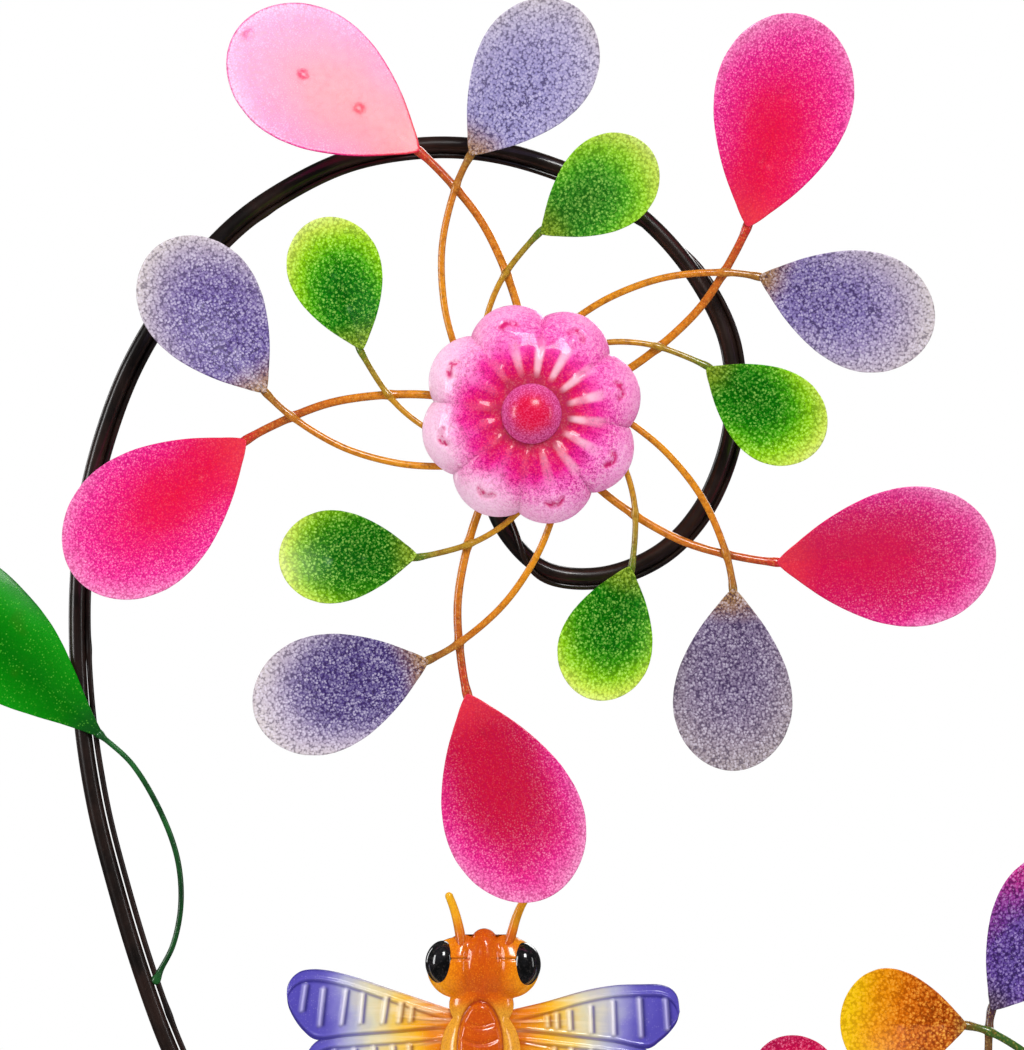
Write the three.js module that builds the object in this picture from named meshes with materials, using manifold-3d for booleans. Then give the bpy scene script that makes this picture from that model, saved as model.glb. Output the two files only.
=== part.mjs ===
// Garden wind spinner: two fifteen-petal flower wheels and a dragonfly on a scrolled steel stake.
// Millimetres, +Z up. The origin is at soil level on the pole's axis, under the fork's crossbar.
// The wheels face -Y and turn about axles along Y.
import * as THREE from "three";
import { mergeVertices } from "three/addons/utils/BufferGeometryUtils.js";
import Module from "manifold-3d";

const wasm = await Module();
wasm.setup();

// ---- driving dimensions -------------------------------------------------
const WHEEL_Y = -34; // the wheels' mid plane, in front of the rods' plane at Y = 0
const MAIN_HUB = { x: 29.0, z: 1600.0 };
const SECOND_HUB = { x: 327.1, z: 1123.7 };
const PETALS_PER_SET = 5;
const PITCH_DEG = 16; // every petal is turned this much about its own length
const SHEET = 1.2; // petal sheet thickness
const GAP = 0.35; // clearance kept between touching pieces
const SCROLL_R = 4.75; // 9.5 mm rod
const VINE_R = 1.6; // 3.2 mm rod
const BRANCH_R = 4.75;
const POLE_R = 6.35; // 12.7 mm tube, modelled solid
const SLEEVE_R = 8.6;
const AXLE_R = 5.0;
const HUB_DRUM_R = 31;
const BEARING_R = 11.0;
const CAP_R = 61.0;
const CAP_LOBES = 8;
const CAP_PHASE_DEG = 15;

// half width of a petal along its length, as a share of its widest
const OUTLINE = [
  [0.0, 0.0], [0.02, 0.07], [0.0625, 0.225], [0.125, 0.375], [0.1875, 0.515],
  [0.25, 0.635], [0.3125, 0.74], [0.375, 0.83], [0.4375, 0.905], [0.5, 0.955],
  [0.5625, 0.99], [0.625, 1.0], [0.6875, 0.985], [0.75, 0.935], [0.8125, 0.86],
  [0.875, 0.735], [0.9375, 0.54], [0.97, 0.38], [1.0, 0.0],
];

const LEAF_OUTLINE = [
  [0.0, 0.0], [0.05, 0.14], [0.124, 0.3], [0.227, 0.54], [0.32, 0.74], [0.4, 0.87], [0.5, 0.96], [0.62, 1.0],
  [0.72, 0.96], [0.82, 0.81], [0.9, 0.57], [0.96, 0.28], [1.0, 0.0],
];

// Each blade of a wheel: the wire's path in polar millimetres and degrees about the hub (first point inside the hub drum),
// its radius and its layer in front of (-) or behind (+) the mid plane, and the petal that it carries.
const MAIN_BLADES = {
  magenta: {
    path: [[28, 25.5], [42, 24], [60.5, 25.2], [87.4, 28.9], [114.2, 32.8], [141.1, 37.7]],
    tip: [161.7, 41.3], axis: 74.3, length: 121.3, half: 39.4, wire: 2.35, layer: 2.6, dish: 3.6, reach: 0.93,
    color: 0xe0205f, wireColor: 0xc65a20,
  },
  lavender: {
    path: [[28, 95], [42, 77], [60.5, 64.5], [80.6, 55.5], [107.5, 45.6], [134.4, 36.3]],
    tip: [149.9, 30.9], axis: -18.5, length: 100.6, half: 33.0, wire: 2.0, layer: -2.1, dish: 3.2, reach: 0.75,
    color: 0x8a7fb0, wireColor: 0xb87a3a,
  },
  green: {
    path: [[29.6, 71.1], [41.8, 58.2], [54.3, 47], [67.2, 37.3], [80.6, 28.2]],
    tip: [102.9, 15.0], axis: -34.9, length: 76.4, half: 26.1, side: -1.5, wire: 1.7, layer: -2.1, dish: 2.8, reach: 0.75,
    color: 0x5aa52c, wireColor: 0xb08a30,
  },
};
const SECOND_BLADES = {
  yellow: {
    path: [[25.0, 69], [44.2, 72], [60.8, 75.9], [79.5, 81.3], [95.2, 87.8], [110.9, 95.4], [124.2, 101.6], [137.5, 107.6]],
    tip: [145.8, 112.4], axis: 178, length: 70.0, half: 29.8, wire: 2.2, layer: -1.6, dish: 3.0, reach: 0.75,
  },
  purple: {
    path: [[25.0, 106], [31.6, 109], [47.2, 116.5], [66.4, 117.4], [87, 115.4], [106.4, 112.8], [127.7, 109.2]],
    tip: [149.7, 105.4], axis: 56.5, length: 100.5, half: 34.5, wire: 2.2, layer: 1.6, dish: 3.2, reach: 0.75,
  },
  red: {
    path: [[25.0, 100.5], [31.4, 100], [44.8, 98], [61.6, 96], [84, 91], [112, 82]],
    tip: [137.4, 75.0], axis: 68, length: 71.5, half: 24.0, wire: 1.6, layer: 1.0, dish: 2.4, reach: 0.75,
  },
};
const SECOND_DRUM_R = 28;

// Centre lines of the rods in the plane Y = 0, as [x, z].
const SCROLL_PATH = [
  [-11.5, 786.6], [-11.5, 837.6], [-11.6, 883.0], [-14.1, 928.4], [-22.7, 971.0], [-39.7, 1014.6], [-65.2, 1057.8],
  [-97.5, 1104.3], [-129.3, 1152.5], [-155.4, 1197.9], [-176.5, 1242.1], [-192.3, 1285.3], [-206.2, 1331.2],
  [-217.8, 1376.6], [-225.1, 1422.0], [-228.3, 1467.4], [-228.1, 1504.2], [-224.6, 1544.0], [-214.7, 1586.5],
  [-198.0, 1630.2], [-172.4, 1671.6], [-140.8, 1707.5], [-111.0, 1728.9], [-75.3, 1745.9], [-35.7, 1753.4],
  [0.0, 1752.7], [35.0, 1744.6], [68.9, 1730.0], [101.3, 1704.7], [124.8, 1675.0], [139.7, 1643.9], [143.6, 1612.0],
  [139.8, 1581.5], [124.8, 1546.8], [101.7, 1522.7], [68.1, 1509.8], [36.9, 1513.3], [15.6, 1533.0], [5.7, 1557.0],
  [6.8, 1578.0], [15.9, 1592.2], [29.0, 1600.0],
];
const BRANCH_PATH = [
  [11.5, 758.2], [11.5, 820.6], [11.9, 871.7], [17.1, 914.2], [36.9, 953.9], [76.6, 985.1], [130.5, 1003.9],
  [190.1, 1016.4], [244.0, 1031.7], [286.5, 1056.1], [313.2, 1087.3], [327.1, 1123.7],
];
const LEAF_STEM_PATH = [
  [-181.0, 1286.2], [-174.1, 1300.0], [-169.6, 1322.7], [-171.3, 1348.2], [-180.9, 1375.5], [-197.4, 1403.3], [-213.6, 1418.2],
];
const VINE_OFFSET = 7.0; // distance between the two rods' centre lines
const POLE_TOP = 1236;
const POLE_JOINT = 640;
const SOCKET_TOP = 62;

// ---- helpers ------------------------------------------------------------
const rad = THREE.MathUtils.degToRad;
const V = (x, y, z) => new THREE.Vector3(x, y, z);

function bare(geometry) {
  const g = geometry.clone();
  for (const name of Object.keys(g.attributes)) if (name !== "position") g.deleteAttribute(name);
  return mergeVertices(g, 1e-3);
}

function solid(geometry) {
  const g = bare(geometry);
  const made = new wasm.Manifold(
    new wasm.Mesh({ numProp: 3, vertProperties: g.attributes.position.array, triVerts: new Uint32Array(g.index.array) }),
  );
  if (made.volume() >= 0) return made;
  const index = new Uint32Array(g.index.array);
  for (let i = 0; i < index.length; i += 3) [index[i + 1], index[i + 2]] = [index[i + 2], index[i + 1]];
  return new wasm.Manifold(new wasm.Mesh({ numProp: 3, vertProperties: g.attributes.position.array, triVerts: index }));
}

function geometryOf(manifold) {
  const m = manifold.getMesh();
  const n = m.numProp;
  const positions = new Float32Array(m.numVert * 3);
  for (let i = 0; i < m.numVert; i++) positions.set(m.vertProperties.subarray(i * n, i * n + 3), i * 3);
  const g = new THREE.BufferGeometry();
  g.setAttribute("position", new THREE.BufferAttribute(positions, 3));
  g.setIndex(new THREE.BufferAttribute(new Uint32Array(m.triVerts), 1));
  g.computeVertexNormals();
  return g;
}

// Joins solids, then takes the cutters away.
function join(parts, cutters = []) {
  let s = solid(parts[0]);
  for (const p of parts.slice(1)) s = s.add(solid(p));
  for (const c of cutters) s = s.subtract(solid(c));
  return geometryOf(s);
}

function material(color, roughness = 0.45, metalness = 0.3) {
  return new THREE.MeshStandardMaterial({ color, roughness, metalness });
}

function piece(group, name, geometry, mat) {
  const mesh = new THREE.Mesh(geometry, mat);
  mesh.name = name;
  group.add(mesh);
  return mesh;
}

// A round bar through rings of points: each ring lies across the path, and the ends are closed by fans.
function sweep(pts, radius, sides) {
  const n = pts.length;
  const tangents = pts.map((_, i) => pts[Math.min(i + 1, n - 1)].clone().sub(pts[Math.max(i - 1, 0)]).normalize());
  let side = V(0, 1, 0);
  const positions = [];
  const index = [];
  for (let i = 0; i < n; i++) {
    side = side.addScaledVector(tangents[i], -side.dot(tangents[i])).normalize().clone();
    const other = tangents[i].clone().cross(side);
    for (let j = 0; j < sides; j++) {
      const a = (2 * Math.PI * (j + 0.5)) / sides;
      const v = pts[i].clone().addScaledVector(side, radius * Math.cos(a)).addScaledVector(other, radius * Math.sin(a));
      positions.push(v.x, v.y, v.z);
    }
  }
  for (let i = 0; i < n - 1; i++)
    for (let j = 0; j < sides; j++) {
      const a = i * sides + j;
      const b = i * sides + ((j + 1) % sides);
      index.push(a, b, b + sides, a, b + sides, a + sides);
    }
  for (const [start, end] of [[0, 1], [(n - 1) * sides, -1]])
    for (let j = 1; j < sides - 1; j++)
      end > 0 ? index.push(start, start + j + 1, start + j) : index.push(start, start + j, start + j + 1);
  const g = new THREE.BufferGeometry();
  g.setAttribute("position", new THREE.BufferAttribute(new Float32Array(positions), 3));
  g.setIndex(index);
  return g;
}

// Stations along a curve, closer together where it bends more: each chord leaves the curve by less than the tolerance.
function stations(curve, tolerance, from = 0, to = 1) {
  const out = [from];
  const split = (a, b, depth) => {
    const m = (a + b) / 2;
    const off = new THREE.Line3(curve.getPointAt(a), curve.getPointAt(b)).closestPointToPoint(curve.getPointAt(m), true, V(0, 0, 0));
    if (depth < 2 || (off.distanceTo(curve.getPointAt(m)) > tolerance && depth < 9)) {
      split(a, m, depth + 1);
      split(m, b, depth + 1);
    } else out.push(b);
  };
  split(from, to, 0);
  return out;
}

function smooth(points) {
  const path = new THREE.CatmullRomCurve3(points, false, "centripetal");
  path.arcLengthDivisions = 1500;
  return path;
}

function bar(points, radius, sides, tolerance) {
  const path = smooth(points);
  return sweep(stations(path, tolerance).map((s) => path.getPointAt(s)), radius, sides);
}

// A turned piece about the Y axis from a closed profile of [radius, y].
function turned(profile, segments = 32) {
  const pts = profile.map(([r, y]) => new THREE.Vector2(r, y));
  if (profile[0][0] > 0) pts.push(pts[0].clone());
  return geometryOf(solid(new THREE.LatheGeometry(pts, segments)));
}

function moved(geometry, x, y, z) {
  return geometry.clone().translate(x, y, z);
}

function polar(r, deg, y = 0) {
  return V(r * Math.cos(rad(deg)), y, r * Math.sin(rad(deg)));
}

// ---- petals and arms ----------------------------------------------------
// The blade's own axes: u along the petal, left across it, n towards the front, turned by the pitch about u.
function axesOf(blade) {
  const a = rad(blade.axis);
  const b = rad(blade.pitch ?? PITCH_DEG);
  const u = V(Math.cos(a), 0, Math.sin(a));
  const flatLeft = V(-Math.sin(a), 0, Math.cos(a));
  const front = V(0, -1, 0);
  const left = flatLeft.clone().multiplyScalar(Math.cos(b)).addScaledVector(front, Math.sin(b));
  const n = front.clone().multiplyScalar(Math.cos(b)).addScaledVector(flatLeft, -Math.sin(b));
  return { u, left, n };
}

const CENTRE_T = 0.58;

// Depth of the dished sheet on its centre line, at a share t of the length.
function dishAt(blade, t) {
  const f = t < CENTRE_T ? 1 - t / CENTRE_T : (t - CENTRE_T) / (1 - CENTRE_T);
  return blade.dish * (1 - f * f);
}

function halfWidth(t, outline = OUTLINE) {
  for (let i = 1; i < outline.length; i++) {
    if (t <= outline[i][0]) {
      const [t0, w0] = outline[i - 1];
      const [t1, w1] = outline[i];
      return w0 + ((w1 - w0) * (t - t0)) / (t1 - t0);
    }
  }
  return 0;
}

// A dished sheet: a fan at its centre and rings out to the edge, front and back.
function petal(blade, lift, sideStations, rings) {
  const { u, left, n } = axesOf(blade);
  const base = polar(blade.tip[0], blade.tip[1], blade.layer);
  const half = blade.half / Math.cos(rad(blade.pitch ?? PITCH_DEG));
  const rim = [];
  rim.push([0, 0]);
  for (const t of sideStations) rim.push([t, halfWidth(t, blade.outline) * half]);
  rim.push([1, 0]);
  for (const t of [...sideStations].reverse()) rim.push([t, -halfWidth(t, blade.outline) * half]);
  const N = rim.length;
  const place = (t, p, depth, side) => {
    const v = base.clone();
    v.addScaledVector(u, t * blade.length);
    v.addScaledVector(left, p + lift * Math.tan(rad(blade.pitch ?? PITCH_DEG)) + (blade.side ?? 0)); // the wire runs under the middle, seen from the front
    v.addScaledVector(n, lift - depth + (side * SHEET) / 2);
    return v;
  };
  const positions = [];
  const index = [];
  const sheet = (side) => {
    const start = positions.length / 3;
    const c = place(CENTRE_T, 0, blade.dish, side);
    positions.push(c.x, c.y, c.z);
    for (let k = 1; k <= rings; k++) {
      const f = k / rings;
      for (const [t, p] of rim) {
        const tt = CENTRE_T + (t - CENTRE_T) * f;
        const v = place(tt, p * f, blade.dish * (1 - f * f), side);
        positions.push(v.x, v.y, v.z);
      }
    }
    return start;
  };
  const a = sheet(1);
  const b = sheet(-1);
  const tri = (s, i, j, k, flip) => (flip ? index.push(s + i, s + k, s + j) : index.push(s + i, s + j, s + k));
  for (const [s, flip] of [[a, true], [b, false]]) {
    for (let i = 0; i < N; i++) {
      const j = (i + 1) % N;
      tri(s, 0, 1 + i, 1 + j, flip);
      for (let k = 1; k < rings; k++) {
        const p = 1 + (k - 1) * N;
        const q = 1 + k * N;
        tri(s, p + i, q + i, q + j, flip);
        tri(s, p + i, q + j, p + j, flip);
      }
    }
  }
  const ra = a + 1 + (rings - 1) * N;
  const rb = b + 1 + (rings - 1) * N;
  for (let i = 0; i < N; i++) {
    const j = (i + 1) % N;
    index.push(ra + i, rb + j, rb + i, ra + i, ra + j, rb + j);
  }
  const g = new THREE.BufferGeometry();
  g.setAttribute("position", new THREE.BufferAttribute(new Float32Array(positions), 3));
  g.setIndex(index);
  return geometryOf(solid(g));
}

// The wire: in from the hub, out along its bend, then along the back of its petal.
function armPoints(blade) {
  const { u, n } = axesOf(blade);
  const base = polar(blade.tip[0], blade.tip[1], blade.layer);
  const pts = blade.path.map(([r, a]) => polar(r, a, blade.layer));
  pts.push(base.clone());
  const along = [];
  for (let t = 0.15; t < blade.reach + 0.01; t += 0.2) along.push(t);
  for (const t of along) {
    pts.push(base.clone().addScaledVector(u, t * blade.length).addScaledVector(n, -dishAt(blade, t)));
  }
  return pts;
}

function drumCutter(radius) {
  return new THREE.CylinderGeometry(radius, radius, 60, 48);
}

const STATIONS_MAIN = [0.1, 0.28, 0.46, 0.625, 0.78, 0.9, 0.975];
const STATIONS_SMALL = [0.12, 0.34, 0.6, 0.8, 0.95];

// ---- hub pieces, about the Y axis, y measured from the wheel's mid plane -
function hubDrum(drumR, noseR, noseY) {
  return turned([
    [BEARING_R + 0.3, 13], [BEARING_R + 0.3, -12.6], [noseR - 4.4, -12.6], [noseR - 4.4, noseY], [noseR, noseY],
    [noseR, -8], [drumR, -8], [drumR, 8], [noseR, 8], [noseR, 13],
  ], 28);
}

function flowerCap(capR, holeR, segments) {
  // Lobed dome: rings from the centre hole to the lobed rim, front and back.
  const rows = [
    [holeR, -26.4, 0], [19.5, -26.4, 0], [31, -24.0, 0.1], [45, -19.6, 0.45], [56.2, -14.6, 0.85], [62.8, -9.4, 1],
  ];
  const scale = capR / CAP_R;
  const lobed = (phi) => 1 - 0.115 * (1 - Math.pow(Math.abs(Math.cos((CAP_LOBES / 2) * (phi - rad(CAP_PHASE_DEG)))), 0.8));
  const positions = [];
  const index = [];
  const thick = 1.2;
  for (const side of [0, 1]) {
    for (const [r, y, w] of rows) {
      for (let i = 0; i < segments; i++) {
        const phi = (2 * Math.PI * i) / segments + rad(CAP_PHASE_DEG);
        const q = r === holeR ? holeR : r * scale * (1 - w + w * lobed(phi));
        positions.push(q * Math.cos(phi), y + side * thick, q * Math.sin(phi));
      }
    }
  }
  const R = rows.length;
  const at = (side, row, i) => side * R * segments + row * segments + (i % segments);
  for (let i = 0; i < segments; i++) {
    for (let k = 0; k < R - 1; k++) {
      index.push(at(0, k, i), at(0, k + 1, i), at(0, k + 1, i + 1), at(0, k, i), at(0, k + 1, i + 1), at(0, k, i + 1));
      index.push(at(1, k, i), at(1, k + 1, i + 1), at(1, k + 1, i), at(1, k, i), at(1, k, i + 1), at(1, k + 1, i + 1));
    }
    index.push(at(0, 0, i), at(0, 0, i + 1), at(1, 0, i + 1), at(0, 0, i), at(1, 0, i + 1), at(1, 0, i));
    index.push(at(0, R - 1, i), at(1, R - 1, i + 1), at(0, R - 1, i + 1), at(0, R - 1, i), at(1, R - 1, i), at(1, R - 1, i + 1));
  }
  const g = new THREE.BufferGeometry();
  g.setAttribute("position", new THREE.BufferAttribute(new Float32Array(positions), 3));
  g.setIndex(index);
  return geometryOf(solid(g));
}

const root = new THREE.Group();

// ---- main spinner -------------------------------------------------------
const main = new THREE.Group();
main.position.set(MAIN_HUB.x, WHEEL_Y, MAIN_HUB.z);
root.add(main);

for (const [name, blade] of Object.entries(MAIN_BLADES)) {
  const lift = blade.wire + SHEET / 2 + GAP;
  const petalGeometry = petal(blade, lift, STATIONS_MAIN, 2);
  const armGeometry = join([bar(armPoints(blade), blade.wire, 6, 0.5)], [drumCutter(HUB_DRUM_R + GAP)]);
  for (let k = 0; k < PETALS_PER_SET; k++) {
    const turn = new THREE.Group();
    turn.rotation.y = -rad(72 * k);
    main.add(turn);
    piece(turn, `${name}_petal_${k + 1}`, petalGeometry, material(blade.color, 0.35, 0.35));
    piece(turn, `${name}_arm_${k + 1}`, armGeometry, material(blade.wireColor, 0.4, 0.4));
  }
}

const steel = () => material(0xb8babd, 0.35, 0.9);
piece(main, "main_hub", hubDrum(HUB_DRUM_R, 17, -24.7), material(0xb06a2c, 0.45, 0.5));
const bearing = (y0, y1) => turned([[AXLE_R + 0.3, y0], [AXLE_R + 0.3, y1], [BEARING_R, y1], [BEARING_R, y0]], 24);
piece(main, "main_bearing_rear", bearing(4.5, 12.5), steel());
piece(main, "main_bearing_front", bearing(-12.3, -4.3), steel());
piece(main, "main_flower_cap", flowerCap(CAP_R, 12.5, 48), material(0xea6fb4, 0.3, 0.3));
piece(main, "main_cap_button", turned([
  [0, -38], [5, -37.5], [10, -35.5], [14, -32], [16.6, -28], [17, -26.75], [12.1, -26.75], [12.1, -19.2], [0, -19.2],
], 28), material(0xd6336c, 0.3, 0.3));

// ---- main axle, fixed to the scroll rod ---------------------------------
const axle = new THREE.Group();
axle.position.set(MAIN_HUB.x, WHEEL_Y, MAIN_HUB.z);
root.add(axle);
const dark = () => material(0x2a2320, 0.35, 0.4);
// boss from y = 22 to 44 (world -12 to 10)
piece(axle, "main_axle_boss", turned([[AXLE_R + 0.3, 22], [AXLE_R + 0.3, 44], [10, 44], [10, 22]], 24), dark());
const hex = (y0, y1, across) => {
  const g = new THREE.CylinderGeometry(across / Math.sqrt(3), across / Math.sqrt(3), y1 - y0, 6);
  g.translate(0, (y0 + y1) / 2, 0);
  return g;
};
const shaft = (y0, y1, r) => {
  const g = new THREE.CylinderGeometry(r, r, y1 - y0, 24);
  g.translate(0, (y0 + y1) / 2, 0);
  return g;
};
piece(axle, "main_axle_bolt", join([shaft(-18.4, 45, AXLE_R), hex(44.4, 50.4, 17)]), steel());
piece(axle, "main_axle_spacer", turned([[AXLE_R + 0.3, 12.85], [AXLE_R + 0.3, 21.65], [8, 21.65], [8, 12.85]], 24), steel());
piece(axle, "main_axle_nut", join([hex(-17.6, -12.65, 15)], [shaft(-30, 0, AXLE_R + 0.3)]), steel());

// ---- second spinner -----------------------------------------------------
const second = new THREE.Group();
second.position.set(SECOND_HUB.x, WHEEL_Y, SECOND_HUB.z);
root.add(second);
{
  const parts = [];
  for (const blade of Object.values(SECOND_BLADES)) {
    parts.push(bar(armPoints(blade), blade.wire, 6, 0.9));
    parts.push(petal(blade, blade.wire + SHEET / 2 - 0.6, STATIONS_SMALL, 2));
  }
  const cluster = join(parts, [drumCutter(SECOND_DRUM_R + GAP)]);
  for (let k = 0; k < PETALS_PER_SET; k++) {
    const turn = new THREE.Group();
    turn.rotation.y = -rad(72 * k);
    second.add(turn);
    piece(turn, `second_petal_cluster_${k + 1}`, cluster, material(0x7a4fb0, 0.35, 0.35));
  }
}
piece(second, "second_hub", turned([
  [AXLE_R + 0.3, 12.5], [AXLE_R + 0.3, -12.5], [15, -12.5], [15, -8], [SECOND_DRUM_R, -8], [SECOND_DRUM_R, 8], [15, 8], [15, 12.5],
], 28), material(0x8a5a2c, 0.45, 0.5));
{
  const cap = flowerCap(54, 8, 32);
  const stem = turned([[0, -33], [6, -32], [11, -29], [13, -24.6], [10, -24.3], [10, -12.85], [AXLE_R + 0.3, -12.85], [AXLE_R + 0.3, -21], [0, -21]], 24);
  piece(second, "second_flower_cap", join([cap, stem]), material(0xc06fd0, 0.3, 0.3));
}

const axle2 = new THREE.Group();
axle2.position.set(SECOND_HUB.x, WHEEL_Y, SECOND_HUB.z);
root.add(axle2);
piece(axle2, "second_axle", turned([
  [0, -18], [AXLE_R, -18], [AXLE_R, 13.2], [9.5, 13.2], [9.5, 44], [0, 44],
], 24), dark());

// ---- rods ---------------------------------------------------------------
const bossCutter = (hub, r) => {
  const g = new THREE.CylinderGeometry(r, r, 80, 40);
  g.translate(hub.x, 0, hub.z);
  return g;
};
const flat = (path) => path.map(([x, z]) => V(x, 0, z));
const scrollCurve = smooth(flat(SCROLL_PATH));
const scrollStations = stations(scrollCurve, 0.4);
piece(root, "scroll_rod", join([sweep(scrollStations.map((s) => scrollCurve.getPointAt(s)), SCROLL_R, 8)], [bossCutter(MAIN_HUB, 10 + GAP)]), dark());

// The thin rod keeps beside the thick one: on the scroll's inner side, then round the back to its outer side, and in again.
{
  const turns = [[0, 0], [0.735, 0], [0.8, 180], [0.925, 180], [0.962, 360], [1, 360]];
  const psi = (s) => {
    for (let i = 1; i < turns.length; i++) {
      if (s <= turns[i][0]) {
        const [s0, a0] = turns[i - 1];
        const [s1, a1] = turns[i];
        const f = (s - s0) / (s1 - s0);
        return rad(a0 + (a1 - a0) * f * f * (3 - 2 * f));
      }
    }
    return rad(360);
  };
  const last = 0.985;
  const pts = scrollStations.filter((s) => s < last).map((s) => {
    const t = scrollCurve.getTangentAt(s);
    const inner = V(t.z, 0, -t.x); // right-hand side of the way up the scroll
    const a = psi(s);
    return scrollCurve.getPointAt(s).addScaledVector(inner, VINE_OFFSET * Math.cos(a)).add(V(0, VINE_OFFSET * Math.sin(a), 0));
  }).filter((p) => Math.abs(p.x) > POLE_R + VINE_R + 0.6 || p.z > POLE_TOP); // it starts where the pole leaves room for it
  piece(root, "vine_rod", join([sweep(pts, VINE_R, 6)], [bossCutter(MAIN_HUB, 10 + GAP)]), dark());
}
piece(root, "branch_rod", join([bar(flat(BRANCH_PATH), BRANCH_R, 8, 0.3)], [bossCutter(SECOND_HUB, 9.5 + GAP)]), dark());

// ---- leaf ---------------------------------------------------------------
{
  // leaves the thin rod and comes forward to the leaf's foot, in front of both rods
  const last = LEAF_STEM_PATH.length - 1;
  const pts = LEAF_STEM_PATH.map(([x, z], i) => V(x, -3.6 * (i / last), z));
  piece(root, "leaf_stem", join([bar(pts, 1.6, 6, 0.3)]), material(0x3c6b2c, 0.45, 0.3));
  const leaf = { tip: [0, 0], axis: 138, length: 160, half: 32.5, layer: 0, dish: -6, pitch: 0, outline: LEAF_OUTLINE };
  const g = petal(leaf, 0, [0.05, 0.124, 0.227, 0.4, 0.62, 0.82, 0.93], 2);
  g.translate(-214.4, -SCROLL_R - SHEET / 2 - GAP, 1419.2);
  piece(root, "leaf", g, material(0x1f7a24, 0.35, 0.3));
}

// ---- pole and fork ------------------------------------------------------
const upright = (r, z0, z1, seg = 20) => {
  const g = new THREE.CylinderGeometry(r, r, z1 - z0, seg);
  g.rotateX(Math.PI / 2);
  g.translate(0, 0, (z0 + z1) / 2);
  return g;
};
piece(root, "upper_pole", upright(POLE_R, POLE_JOINT + GAP / 2, POLE_TOP), dark());
piece(root, "lower_pole", upright(POLE_R, 12, POLE_JOINT - GAP / 2), dark());
piece(root, "pole_sleeve", join([upright(SLEEVE_R, POLE_JOINT - 45, POLE_JOINT + 45, 24)], [upright(POLE_R + GAP, POLE_JOINT - 60, POLE_JOINT + 60)]), dark());
{
  const crossbar = new THREE.BoxGeometry(150, 20, 6);
  crossbar.translate(0, 0, 3);
  const socket = upright(9.5, 3, SOCKET_TOP, 24);
  const prong = (x) => {
    const g = new THREE.LatheGeometry(
      [new THREE.Vector2(0, -205), new THREE.Vector2(4.2, -178), new THREE.Vector2(4.2, 3), new THREE.Vector2(0, 3)], 10);
    g.rotateX(Math.PI / 2);
    g.translate(x, 0, 0);
    return g;
  };
  piece(root, "ground_fork", join([crossbar, socket, prong(-66), prong(66)], [upright(POLE_R + GAP, 11.6, 80)]), dark());
}

// ---- dragonfly ----------------------------------------------------------
const DF = { x: 0.5, z: 1292 }; // centre of the head
const PLATE_BACK = -POLE_R - GAP;
const PLATE = 1.4;
const PLATE_FRONT = PLATE_BACK - PLATE;
{
  const s = new THREE.Shape();
  // four wings of one stamped sheet, as [x, z]
  const outline = [
    [-21, 1266], [-49, 1275.4], [-72.2, 1283.1], [-95.3, 1287.0], [-105.5, 1283.6], [-109.2, 1273.1], [-105.5, 1259.9],
    [-92.9, 1247.2], [-99.5, 1236], [-101.5, 1224], [-96, 1213], [-84, 1207.5], [-66, 1210], [-44, 1219], [-20, 1231],
    [-14, 1212], [14, 1212],
    [21, 1229], [46, 1216], [68, 1205.5], [86, 1201.5], [98.5, 1206], [104, 1216], [103, 1229], [95.2, 1242.1],
    [107.4, 1251.4], [113.1, 1263.0], [111.4, 1272.3], [102.9, 1278.2], [90.6, 1278.5], [61.1, 1275.4], [36.4, 1268.5], [20, 1264.6],
  ];
  outline.forEach(([x, z], i) => (i ? s.lineTo(x, z) : s.moveTo(x, z)));
  s.closePath();
  const g = new THREE.ExtrudeGeometry(s, { depth: PLATE, bevelEnabled: false, curveSegments: 1 });
  g.rotateX(Math.PI / 2); // shape's y becomes z, its depth runs to -Y
  g.translate(0, PLATE_BACK, 0);
  piece(root, "dragonfly_wings", geometryOf(solid(g)), material(0x8f86d8, 0.35, 0.3));
}
{
  const ball = (x, y, z, rx, ry, rz, w = 18, h = 12) => {
    const g = new THREE.SphereGeometry(1, w, h);
    g.rotateX(Math.PI / 2);
    g.scale(rx, ry, rz);
    g.translate(x, y, z);
    return g;
  };
  const y0 = PLATE_FRONT - GAP;
  const head = ball(1.2, y0, 1291.5, 20.5, 12, 19.5);
  const thorax = ball(0.4, y0, 1243, 20.5, 13.5, 33);
  const neck = ball(0.8, y0, 1271, 17, 9, 12, 14, 10);
  const abdomen = new THREE.LatheGeometry(
    [[0, 1122], [4, 1124], [6.2, 1132], [7, 1150], [8.2, 1170], [10, 1190], [12, 1210], [12, 1225], [0, 1232]].map(([r, z]) => new THREE.Vector2(r, z)), 14);
  abdomen.rotateX(Math.PI / 2);
  abdomen.translate(0, y0, 0);
  const front = new THREE.BoxGeometry(120, 60, 420);
  front.translate(0, y0 + 30, 1220);
  const feeler = (points) => bar(points, 2.5, 6, 0.5);
  piece(root, "dragonfly_body", join([head, neck, thorax, abdomen,
    feeler([V(-9, y0 - 4, 1302), V(-13, y0 - 3.4, 1312), V(-18, y0 - 2.9, 1331)]),
    feeler([V(13.5, y0 - 4, 1302), V(18.5, y0 - 3.4, 1312), V(26, y0 - 2.9, 1327)]),
  ], [front]), material(0xd9731a, 0.35, 0.3));
  const cutHead = ball(1.2, y0, 1291.5, 20.5 + GAP, 12 + GAP, 19.5 + GAP, 24, 16);
  const eyeL = ball(-21.0, y0, 1292.2, 9.5, 9.5, 12.4, 14, 10);
  const eyeR = ball(24.2, y0, 1290.2, 9.5, 9.5, 12.4, 14, 10);
  piece(root, "dragonfly_left_eye", join([eyeL], [cutHead, front]), material(0x0c0c0e, 0.1, 0));
  piece(root, "dragonfly_right_eye", join([eyeR], [cutHead, front]), material(0x0c0c0e, 0.1, 0));
}

export default root;
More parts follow.
